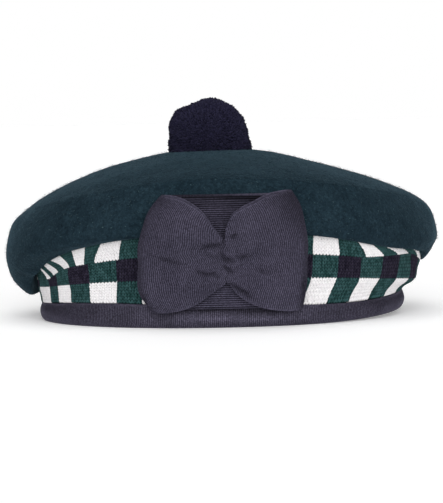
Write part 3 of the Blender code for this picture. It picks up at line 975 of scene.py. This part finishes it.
def lean(share, level, top):
    """How far the dicing is shifted or leans round the band, as a share of the way round.

    top tells the points of the top row.
    """
    check = (share % 1.0) * CHECKS
    up = np.clip(level - TOP_ROW_LEVEL, 0, 1)
    low = straight(TOP_ROW_PULL, "low", check)
    high = straight(TOP_ROW_PULL, "high", check)
    shift = straight(LOW_ROW_SHIFT, "shift", check)
    return np.where(top, low + (high - low) * up**1.5, shift) / CHECKS


def lap(share):
    """How far the knit reaches down over the binding."""
    return straight(LAP, "drop", np.asarray(share) % 1.0)


def band_surface(share, level, top=None):
    """A point of the knitted band, a little uneven as knitting is."""
    share, level = np.broadcast_arrays(share, level)
    top = level >= TOP_ROW_LEVEL - 1e-6 if top is None else top
    turned = share + lean(share, level, top)
    near = np.clip(1 - np.abs(level - TOP_ROW_LEVEL), 0, 1)
    level = level - near * straight(TOP_ROW_DIP, "dip", (turned % 1.0) * CHECKS)
    point, normal = oval(level, angle_at(turned))
    foot = np.clip(1 - (level - BINDING_TOP_LEVEL) / 1.2, 0, 1) ** 1.5
    rise = lifted(level, angle_at(turned)) - lap(share) * foot
    point = point + np.stack([0 * share, 0 * share, rise], -1)
    free = np.clip((level - 1.2) / 0.6, 0, 1) * np.clip((4.05 - level) / 0.5, 0, 1)
    turn = 2 * math.pi * share
    uneven = BAND_WAVES[0] * np.sin(9 * turn + 2.1 * level)
    uneven = uneven + BAND_WAVES[1] * np.sin(17 * turn - 3.0 * level + 1.3)
    return point + normal * (uneven * free)[..., None]


def band_frame(share, level, top):
    """Point and outward normal on the band."""
    step, rise = 0.0004, 0.02
    across = band_surface(share + step, level, top) - band_surface(share - step, level, top)
    up = band_surface(share, level + rise, top) - band_surface(share, level - rise, top)
    return band_surface(share, level, top), unit(np.cross(unit(across), up))


def check_colour(check, row):
    """The colour's number for a check round the band and its row from the bottom."""
    return np.array(CHECK_COLOURS)[check % 2, row]


def build_stitches(finishes):
    """The knitted loops: two slanting legs to a stitch, half sunk in the wall behind."""
    wales = CHECKS * WALES
    courses = ROWS_OF_CHECKS * COURSES
    wale, course = np.meshgrid(np.arange(wales), np.arange(courses), indexing="ij")
    wale, course = wale.ravel(), course.ravel()
    random = np.random.default_rng(11)
    along = np.linspace(0, 1, len(LEG_SHADE_UP))
    profile = np.radians(LEG_PROFILE)
    colours = check_colour(wale // WALES, course // COURSES)
    top = (course // COURSES == ROWS_OF_CHECKS - 1)[:, None]
    points, kinds, shades = [], [], []
    for side in (-1, 1):
        sway = random.normal(0, 0.035, (len(wale), 1))
        thick = random.uniform(0.9, 1.1, (len(wale), 1))
        u = 0.5 + side * (LEG_ASIDE[0] + LEG_ASIDE[1] * along[None, :] ** 0.8) + sway
        v = LEG_UP[0] + LEG_UP[1] * along[None, :]
        share = (wale[:, None] + u) / wales
        level = BINDING_TOP_LEVEL + (course[:, None] + v + 0.3) / COURSES
        level = np.minimum(level, BAND_TOP_LEVEL + 0.06)
        spot, normal = band_frame(share, level, top)
        before, after = (lean(share + half / wales, level, top) for half in (-0.5, 0.5))
        squeeze = 1 + (after - before) * wales
        lateral = unit(np.cross(np.gradient(spot, axis=1), normal))
        swell = np.sin(np.pi * np.clip(along * 0.86 + 0.07, 0, 1))[None, :] ** 0.6
        width = YARN * 0.94 * thick * (0.62 + 0.38 * swell) * np.clip(squeeze, 0.3, 1.25)
        rise = YARN * (0.55 * swell - 0.42)
        tube = (
            spot[:, :, None, :]
            + lateral[:, :, None, :] * (width[..., None] * np.sin(profile))[..., None]
            + normal[:, :, None, :] * (rise[..., None] + YARN * 0.85 * np.cos(profile))[..., None]
        )
        points.append(tube)
        kinds.append(colours)
        # Painted shade at each leg's sides and at its ends
        shades.append(np.broadcast_to(np.outer(LEG_SHADE_UP, LEG_SHADE_ROUND), tube.shape[:-1]))
    points, kinds, shades = (np.concatenate(parts) for parts in (points, kinds, shades))
    patch = quads(len(along), len(profile), closed=False)
    for kind, (name, finish) in enumerate(zip(("knit_white", "knit_green", "knit_black"), finishes)):
        legs = points[kinds == kind]
        faces = repeated(patch, len(legs), len(along) * len(profile))
        piece = mesh_piece(name, legs.reshape(-1, 3), [faces], [finish], shade=shades[kinds == kind])
        fit_out(piece, "diced_knit", "diced_band")


def build_band_wall(finishes):
    """The knitted wall behind the loops, closed all round, coloured in the same checks."""
    around = CHECKS * WALES
    share = np.arange(around) / around
    foot, foot_normal = oval(np.zeros(around), angle_at(share))
    heights = np.linspace(RIBBON + GAP, BINDING_HEIGHT + GAP, WALL_TUCKED_ROWS)
    tucked = [foot - foot_normal * (RIBBON + GAP + WALL_TUCK) + [0, 0, h] for h in heights]
    levels = np.linspace(BINDING_TOP_LEVEL + STEP_OUT, BAND_TOP_LEVEL + 0.04, WALL_ROWS)
    outer = np.concatenate([np.array(tucked), band_surface(share[None, :], levels[:, None])])
    normals = grid_normals(outer, closed=True)
    outer = outer - normals * WALL_SUNK
    inner = (outer - normals * (KNIT - WALL_THINNER))[WALL_INNER_ROWS]
    rows = np.concatenate([inner[::-1], outer])
    faces = quads(len(rows) + 1, around, closed=True) % (len(rows) * around)
    down, up = np.linspace(2.99, 0, len(inner) - 1), np.linspace(0, 2.99, WALL_ROWS - 1)
    row = np.concatenate([down, [2], np.zeros(WALL_TUCKED_ROWS), up, [2]]).astype(int)
    colours = check_colour(np.tile(np.arange(around) // WALES, len(rows)), np.repeat(row, around))
    # Painted shade on the wall between the loops
    depth = np.full(rows.shape[:2], WALL_SHADE)
    wall = mesh_piece("band_wall", rows.reshape(-1, 3), [faces], finishes, colours, depth)
    fit_out(wall, "diced_knit", "diced_band")


def build_binding(finish):
    """The ribbon folded round the rim, ribbed across, with its selvedge along the top."""
    count = BINDING_RIBS * len(RIB_STEPS)
    share = np.arange(count) / count
    angles = angle_at(share)
    turn = 2 * math.pi * share
    rib = np.tile(RIB_STEPS, BINDING_RIBS) - 1
    ring, normal = oval(np.zeros(count), angles)
    wavy = TOP_WAVES[0] * np.sin(5 * turn + 0.7) + TOP_WAVES[1] * np.sin(13 * turn + 2.0)
    rows = []
    for inset, height, ribbed in zip(*BINDING_OUTLINE.values()):
        outside = inset < BINDING_DEPTH / 2
        middle = math.sin(math.pi * min(height / BINDING_HEIGHT, 1.0))
        flare = END_FLARE * middle**2 * np.abs(np.cos(angles)) ** 6
        sway = np.sin(11 * turn + 180 * height) + 0.7 * np.sin(23 * turn + 1.0 - 240 * height)
        drift = flare + BINDING_WAVES * middle * sway
        outward = -inset + (drift if inset <= 0 else 0)
        outward = outward + BINDING_RIB_HEIGHT * ribbed * rib * (1 if outside else -1)
        z = height + (wavy if height > TOP_WAVES_FROM else 0)
        z = z - (lap(share) * (height / BINDING_HEIGHT) ** 2 if outside else 0)
        row = ring + normal * outward[:, None]
        row[:, 2] = np.maximum(row[:, 2] + z, OFF_FLOOR)
        rows.append(row)
    rows = np.array(rows)
    faces = quads(len(rows), count, closed=True)[:, ::-1]
    inset, height, ribbed = (column[:, None] for column in BINDING_OUTLINE.values())
    # Painted shade between the ribs, and the cockade's painted shadow on the binding below it
    depth = 1 + (VALLEY_SHADE - 1) * -rib[None, :] * ribbed
    aside = ring[:, 0] - COCKADE_X
    light = straight(FOOT_LIGHT, "light", height - straight(FOOT_LINE, "height", aside))
    near = np.clip((FOOT_REACH - np.abs(aside)) / FOOT_EASE, 0, 1) * (ring[:, 1] < 0)
    depth = depth * (1 - (1 - light) * near * (inset < BINDING_DEPTH / 2))
    binding = mesh_piece("binding_grosgrain", rows.reshape(-1, 3), [faces], [finish], shade=depth)
    fit_out(binding, "ribbon", "binding_ribbon")


# Cockade


def thickened(name, sheet, wall, finish, shade):
    """A closed piece with its faces outward: a sheet of points, its back and its edges.

    wall is its thickness, below zero where the sheet's own normals point into the ribbon.
    """
    normals = grid_normals(sheet, closed=False)
    back = sheet - normals * wall
    rows, count = sheet.shape[:2]
    points = np.concatenate([sheet.reshape(-1, 3), back.reshape(-1, 3)])
    front_faces = quads(rows, count, closed=False)
    back_faces = front_faces[:, ::-1] + rows * count
    numbers = np.arange(rows * count).reshape(rows, count)
    right, left = numbers[1:, -1], numbers[-2:0:-1, 0]
    loop = np.concatenate([numbers[0], right, numbers[-1, -2::-1], left])
    after = np.roll(loop, -1)
    edge_faces = np.stack([after, loop, loop + rows * count, after + rows * count], -1)
    faces = [front_faces, back_faces, edge_faces]
    if wall < 0:
        faces = [group[:, ::-1] for group in faces]
    depth = np.concatenate([shade.ravel(), shade.ravel()])
    return mesh_piece(name, points, faces, [finish], shade=depth)


def crease_strength(across, up, crease):
    """How strong a crease is at each point, from 0 away from it to 1 along its middle, and its swell."""
    path = np.array(crease["path"])
    lengths = np.hypot(*np.diff(path, axis=0).T)
    done = np.concatenate([[0], np.cumsum(lengths)]) / lengths.sum()
    strength = np.zeros(np.broadcast(across, up).shape)
    swell = np.zeros(strength.shape)
    for k, (start, end) in enumerate(zip(path[:-1], path[1:])):
        way = end - start
        run = ((across - start[0]) * way[0] + (up - start[1]) * way[1]) / (way @ way)
        run = np.clip(run, 0, 1)
        far = np.hypot(across - start[0] - run * way[0], up - start[1] - run * way[1])
        far = far / (crease["width"] * CREASE_WIDER)
        along = done[k] + run * (done[k + 1] - done[k])
        taper = np.clip(4 * along * (1 - along), 0, 1)
        strength = np.maximum(strength, taper * np.exp(-(far**2)))
        swell = np.maximum(swell, taper * np.exp(-((far / CREASE_SPREAD) ** 2)))
    return strength, swell


def creased(across, up):
    """How far the cockade's front sinks at its creases, and how much of its colour the painted shade in
    them leaves.
    """
    sunk = np.zeros(np.broadcast(across, up).shape)
    shade = np.ones(sunk.shape)
    for crease in CREASES:
        strength, swell = crease_strength(across, up, crease)
        sunk += crease["depth"] * (strength - CREASE_SWELL * swell)
        shade = np.minimum(shade, 1 - CREASE_SHADE * crease["depth"] * strength)
    for lump in LUMPS:
        far = np.hypot((across - lump["across"]) / lump["wide"], (up - lump["up"]) / lump["tall"])
        sunk -= lump["height"] * np.exp(-(far**2))
    return sunk, shade


def under_loop(half_height):
    """The under-ribbon's loop, up and off the bonnet, from its ribbed front round, and its ribs."""
    radius = BACKING_LOOP / 2
    flat = half_height - radius
    ribs = int(round(2 * flat / BACKING_RIB))
    run = np.linspace(-1, 1, ribs * len(UNDER_STEPS) + 1)
    turn = np.linspace(0, math.pi, 9)[1:-1]
    front = np.stack([run * flat, np.full(run.shape, BACKING_LOOP)], -1)
    top = np.stack([flat + radius * np.sin(turn), radius * (1 + np.cos(turn))], -1)
    back = np.stack([np.linspace(1, -1, 24) * flat, np.zeros(24)], -1)
    bottom = np.stack([-flat - radius * np.sin(turn), radius * (1 - np.cos(turn))], -1)
    loop = np.concatenate([front, top, back, bottom])
    rib = np.zeros((len(loop), 1))
    rib[: len(front), 0] = np.tile(UNDER_STEPS, ribs + 1)[: len(front)] - 1
    return loop, rib


def build_under_ribbon(finish):
    """The upright loop of ribbon under the wings, ribbed across its length."""
    half_height = COCKADE_HEIGHT / 2 - UNDER_SHORT
    loop, rib = under_loop(half_height)
    across = np.linspace(-0.5, 0.5, 49)[None, :]
    x = COCKADE_X + across * BACKING_WIDTH
    up, stand = loop[:, :1], loop[:, 1:]
    z = COCKADE_Z + up + 0 * x
    edge = np.abs(up) / half_height
    outer = stand > BACKING_LOOP * 0.6
    press = UNDER_PRESS * np.exp(-((edge / 0.55) ** 2)) * np.cos(across * math.pi)
    swell = UNDER_SWELL * np.clip((edge - 0.6) / 0.35, 0, 1)
    tuck = np.exp(-(((up - TUCK_UP + TUCK_SLOPE * across) / TUCK_WIDTH) ** 4))
    lift = stand + (swell - press - TUCK_DEPTH * tuck) * outer + UNDER_RIB_HEIGHT * rib
    sheet = laid(x + 0 * z, z, COCKADE_SEAT + lift)
    # Painted shade under the top fold, where the crown and the wings keep light off, and at the foot;
    # painted shade and light on the ribs
    folded = stand > BACKING_LOOP * 0.2
    sheltered = 1 - straight(SHELTER, "shade", up) * folded
    foot = np.clip((-up - FOOT_FROM) / 0.0006, 0, 1)
    shade = (1 + (1 - UNDER_SHADE) * rib) * (1 - TUCK_SHADE * tuck * folded)
    shade = shade * sheltered * (1 - FOOT_SHADE * foot) + 0 * x
    sheet = np.concatenate([sheet, sheet[:1]])
    shade = np.concatenate([shade, shade[:1]])
    piece = thickened("cockade_under_ribbon", sheet, RIBBON_SHOWN, finish, shade)
    fit_out(piece, "ribbon", "cockade_backing")


def wing_loop():
    """A wing's loop, rib by rib: its reach and stand-off, its ribs, and which points are in front."""
    table = np.stack(list(WING_LOOP_STATIONS.values()), -1)
    path = smooth_rows(table, np.linspace(0, len(table) - 1, 1200))
    way = np.abs(np.diff(path[:, 0])) + 0.12 * np.abs(np.diff(path[:, 1]))
    length = np.concatenate([[0], np.cumsum(way)])
    per_rib, face = len(RIB_STEPS), COCKADE_SPAN / 2 * 0.93
    ribs = int(round(length[np.argmax(path[:, 0])] * face / WING_RIB)) + 2
    ribbed = np.arange(ribs * per_rib) * WING_RIB / per_rib / face
    plain = np.linspace(ribbed[-1], length[-1], 26)[1:]
    even = np.concatenate([ribbed, plain])
    reach, stand = (np.interp(even, length, path[:, k])[:, None] for k in (0, 1))
    rib = np.concatenate([np.tile(RIB_STEPS, ribs) - 1, np.zeros(len(plain))])[:, None]
    return reach, stand, rib, (np.arange(len(even)) < len(ribbed))[:, None]


def wing_place(side, reach, height):
    """Where a wing's points lie seen from the front: the share across it, and aside and up."""
    across = reach * smooth(WING_FOLD, "across", height)
    across = across * (1 + reach**4 * smooth(WING_CORNERS[side], "wider", height))
    top = smooth(WING_TOPS[side], "top", across)
    top = top + WING_CORNER_RISE[side] * np.clip((across - 0.35) / 0.35, 0, 1)
    bottom = smooth(WING_BOTTOM, "bottom", across)
    up = COCKADE_HEIGHT / 2 * (bottom + (top - bottom) * (height + 1) / 2)
    inner = WING_INNER[side] + side * smooth(WING_SEAM, "aside", up)
    return across, side * (inner + across * (COCKADE_SPAN / 2 - inner)), up


def build_wing(side, finish):
    """A wing of the cockade: a flattened loop of ribbon, ribbed up and down, creased inside."""
    reach, stand, rib, front = wing_loop()
    height = np.linspace(-1, 1, WING_ROWS)[None, :]
    across, out, up = wing_place(side, reach, height)
    sunk, shade = creased(out, up)
    selvedge = np.clip((1 - np.abs(height)) / 0.025, 0, 1)
    lift = WING_BASE + stand * WING_LOOP + (RIB_HEIGHT * rib * selvedge - sunk) * front
    lift = lift + WING_OVER[side] * np.exp(-((across / 0.08) ** 2)) * front
    sheet = laid(COCKADE_X + out, COCKADE_Z + up, lift)
    waves = ripple(sheet, WING_WAVE_SIZE, 20 + side) * WING_WAVES
    sheet[..., 1] -= waves * front * np.clip(reach * 4, 0, 1)
    # Painted shade where the upper corner and the outer fold turn away, in the creases and between the
    # ribs
    turned = CORNER_SHADE[side] * np.clip((reach - 0.55) / 0.4, 0, 1)
    turned = turned * np.clip((height - 0.1) / 0.8, 0, 1)
    turned = np.maximum(turned, FOLD_SHADE * np.clip((reach - 0.90) / 0.06, 0, 1))
    ribbed = 1 + (1 - VALLEY_SHADE) * rib * selvedge
    shade = np.where(front, shade * (1 - turned) * ribbed, 1.0)
    node = "cockade_wing_left" if side < 0 else "cockade_wing_right"
    piece = thickened(node + "_ribbon", sheet, RIBBON_SHOWN * -side, finish, shade)
    fit_out(piece, "ribbon", node)


# Toorie


def build_core(middle, radius, finish):
    """The toorie's dark head of wool, flattened where it sits on the crown."""
    ball = bmesh.new()
    bmesh.ops.create_icosphere(ball, subdivisions=4, radius=radius * CORE)
    core = np.array([v.co for v in ball.verts])
    faces = np.array([[v.index for v in f.verts] for f in ball.faces])
    ball.free()
    core += middle
    seat = crown_top_height(core[:, 0], core[:, 1]) + TOORIE_SEAT
    core[:, 2] = np.maximum(core[:, 2], seat)
    piece = mesh_piece("toorie_core", core, [faces], [finish])
    fit_out(piece, "toorie_wool", "toorie")


def strand_reach(way, radius, random):
    """How far each strand reaches, by its direction: in tufts, fuller low down, trimmed by the lobes."""
    low = np.clip((-way[:, 2] - 0.02) / 0.2, 0, 1)
    tufts = ripple(way * radius, 0.0042, 3)
    reach = radius * (0.975 + STRAND_TUFTS * tufts + random.normal(0, STRAND_UNEVEN, len(way)))
    foot = np.clip((-way[:, 2] - 0.22) / 0.2, 0, 1) * np.clip(-way[:, 0], 0, 1)
    reach *= 1 + low * (0.05 + 0.05 * way[:, 0]) + 0.13 * foot
    for lobe in TOORIE_LOBES:
        turn = math.radians(lobe["turn"])
        aim = np.array([math.cos(turn), 0.0, math.sin(turn)])
        reach *= 1 + lobe["rise"] * np.exp((way @ aim - 1) / lobe["spread"])
    return reach


def build_strands(middle, radius, finish):
    """Thousands of cut strands of wool, three-sided and pointed, that stand out of the head."""
    random = np.random.default_rng(7)
    k = np.arange(STRANDS) + 0.5
    polar = np.arccos(1 - 2 * k / len(k))
    around = math.pi * (1 + 5**0.5) * k
    way = np.stack([np.cos(around) * np.sin(polar), np.sin(around) * np.sin(polar), np.cos(polar)], -1)
    way = unit(way + random.normal(0, 0.018, way.shape))
    tip = middle + way * strand_reach(way, radius, random)[:, None]
    free = tip[:, 2] > crown_top_height(tip[:, 0], tip[:, 1]) - 0.0012
    way, tip = way[free], tip[free]
    bend = random.normal(0, 1, way.shape)
    bend -= way * np.sum(bend * way, axis=1, keepdims=True)
    bend *= STRAND_BEND
    start = middle + way * (radius * STRAND_FROM)
    half = (start + tip) / 2 + bend * 0.6
    neck = start + (tip - start) * 0.86 + bend * 0.3
    spine = np.stack([start, half, neck], 1)
    first = unit(np.cross(way, random.normal(0, 1, way.shape)))
    second = np.cross(way, first)
    turn = 2 * math.pi * np.arange(3) / 3
    circle = first[:, None] * np.cos(turn)[:, None] + second[:, None] * np.sin(turn)[:, None]
    thick = STRAND * random.uniform(0.8, 1.2, (len(way), 1)) * np.array([[0.8, 1.0, 0.95]])
    rings = spine[:, :, None, :] + circle[:, None] * thick[..., None, None]
    points = np.concatenate([rings.reshape(len(way), -1, 3), tip[:, None]], 1)
    sides = repeated(quads(3, 3, closed=True), len(way), 10)
    tips = repeated([[6, 7, 9], [7, 8, 9], [8, 6, 9]], len(way), 10)
    strands = mesh_piece("toorie_strands", points.reshape(-1, 3), [sides, tips], [finish])
    fit_out(strands, "toorie_wool", "toorie")


def build_toorie(finish):
    """The toorie: a head of wool on the crown, and the strands round it."""
    radius = TOORIE_WIDTH / 2
    base = float(crown_top_height(np.array(TOORIE_X), np.array(CROWN_Y)))
    middle = np.array([TOORIE_X, CROWN_Y, base + TOORIE_HEIGHT - radius])
    build_core(middle, radius, finish)
    build_strands(middle, radius, finish)


# Studio


def build_floor(finish):
    """A round floor, far wider than the bonnet."""
    bpy.ops.mesh.primitive_circle_add(vertices=96, radius=14, fill_type="NGON", location=(0, 0, 0))
    floor = bpy.context.object
    floor.name = "floor"
    floor.data.materials.append(finish)


def sun(name, direction, strength, angle):
    """A large soft light, far off, that shines along a direction."""
    lamp = bpy.data.lights.new(name, "SUN")
    lamp.energy = strength
    lamp.angle = math.radians(angle)
    made = bpy.data.objects.new(name, lamp)
    made.rotation_euler = Vector(direction).to_track_quat("-Z", "Y").to_euler()
    bpy.context.scene.collection.objects.link(made)


def build_camera():
    """The photograph's camera: a little above the bonnet, a little turned, with a long lens."""
    pitch = math.atan2(CAMERA_RISE, CAMERA_REACH)
    ahead = np.array([0, math.cos(pitch), -math.sin(pitch)])
    level_right = np.array([1.0, 0.0, 0.0])
    level_up = np.cross(level_right, ahead)
    right = level_right * math.cos(CAMERA_ROLL) - level_up * math.sin(CAMERA_ROLL)
    up = level_right * math.sin(CAMERA_ROLL) + level_up * math.cos(CAMERA_ROLL)
    place = np.array([0, 0, CAMERA_AIM_Z]) - ahead * CAMERA_REACH
    focal = CAMERA_REACH / PIXEL
    aside = (IMAGE_SIZE[0] / 2 - AIM_PIXEL[0]) / focal
    down = (IMAGE_SIZE[1] / 2 - AIM_PIXEL[1]) / focal
    ahead = ahead + right * aside - up * down
    ahead /= np.linalg.norm(ahead)
    right = right - ahead * np.dot(right, ahead)
    right /= np.linalg.norm(right)
    up = np.cross(right, ahead)
    camera = bpy.data.cameras.new("camera")
    camera.sensor_width = SENSOR
    camera.lens = focal * SENSOR / max(IMAGE_SIZE)
    camera.clip_end = 100
    made = bpy.data.objects.new("camera", camera)
    turn = Matrix([[right[k], up[k], -ahead[k]] for k in range(3)])
    made.matrix_world = Matrix.Translation(place) @ turn.to_4x4()
    bpy.context.scene.collection.objects.link(made)
    bpy.context.scene.camera = made


def build_studio():
    """White surroundings, dimmer as a light than as a background, and two large soft lights."""
    scene = bpy.context.scene
    scene.view_settings.view_transform = "Standard"
    world = bpy.data.worlds.new("studio")
    world.use_nodes = True
    nodes, link = world.node_tree.nodes, world.node_tree.links.new
    way = nodes.new("ShaderNodeTexCoord")
    parts = nodes.new("ShaderNodeSeparateXYZ")
    aside = nodes.new("ShaderNodeMath")
    aside.operation = "ABSOLUTE"
    dimmed = nodes.new("ShaderNodeMapRange")
    limits = dict(zip(("From Min", "From Max", "To Min", "To Max"), (*SIDES_FROM, 1.0, SIDES_DIM)))
    for socket, value in limits.items():
        dimmed.inputs[socket].default_value = value
    lit = nodes["Background"]
    lit.inputs["Strength"].default_value = AMBIENT
    seen = nodes.new("ShaderNodeBackground")
    seen.inputs["Color"].default_value = (1.0, 1.0, 1.0, 1)
    rays = nodes.new("ShaderNodeLightPath")
    mix = nodes.new("ShaderNodeMixShader")
    link(way.outputs["Generated"], parts.inputs[0])
    link(parts.outputs["X"], aside.inputs[0])
    link(aside.outputs[0], dimmed.inputs["Value"])
    link(dimmed.outputs[0], lit.inputs["Color"])
    link(rays.outputs["Is Camera Ray"], mix.inputs[0])
    link(lit.outputs[0], mix.inputs[1])
    link(seen.outputs[0], mix.inputs[2])
    link(mix.outputs[0], nodes["World Output"].inputs["Surface"])
    scene.world = world
    for light in SUNS:
        sun(**light)


def main():
    """Loads the solids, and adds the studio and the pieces."""
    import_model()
    build_studio()
    build_camera()
    build_floor(floor_finish())
    felt = felt_finish()
    white = yarn_finish("white_yarn", (0.82, 0.80, 0.81), (0.91, 0.89, 0.90), 0.20)
    green = yarn_finish("green_yarn", (0.0130, 0.0440, 0.0430), (0.0420, 0.1030, 0.1070), 1.0)
    black = yarn_finish("black_yarn", (0.0125, 0.0105, 0.0210), (0.0330, 0.0285, 0.0480), 1.0)
    ribbon = ribbon_finish("charcoal_grosgrain", (0.0475, 0.0440, 0.0675), (0.0710, 0.0650, 0.0985))
    dark, light = (0.0660, 0.0610, 0.0890), (0.0940, 0.0860, 0.1260)
    edging = ribbon_finish("charcoal_binding", dark, light, 0.65, (0.54, 0.45))
    wool = wool_finish()
    build_crown(felt)
    build_fuzz(fibre_finish())
    build_band_wall([white, green, black])
    build_stitches((white, green, black))
    build_binding(edging)
    build_under_ribbon(ribbon)
    for side in (-1, 1):
        build_wing(side, ribbon)
    build_toorie(wool)


main()
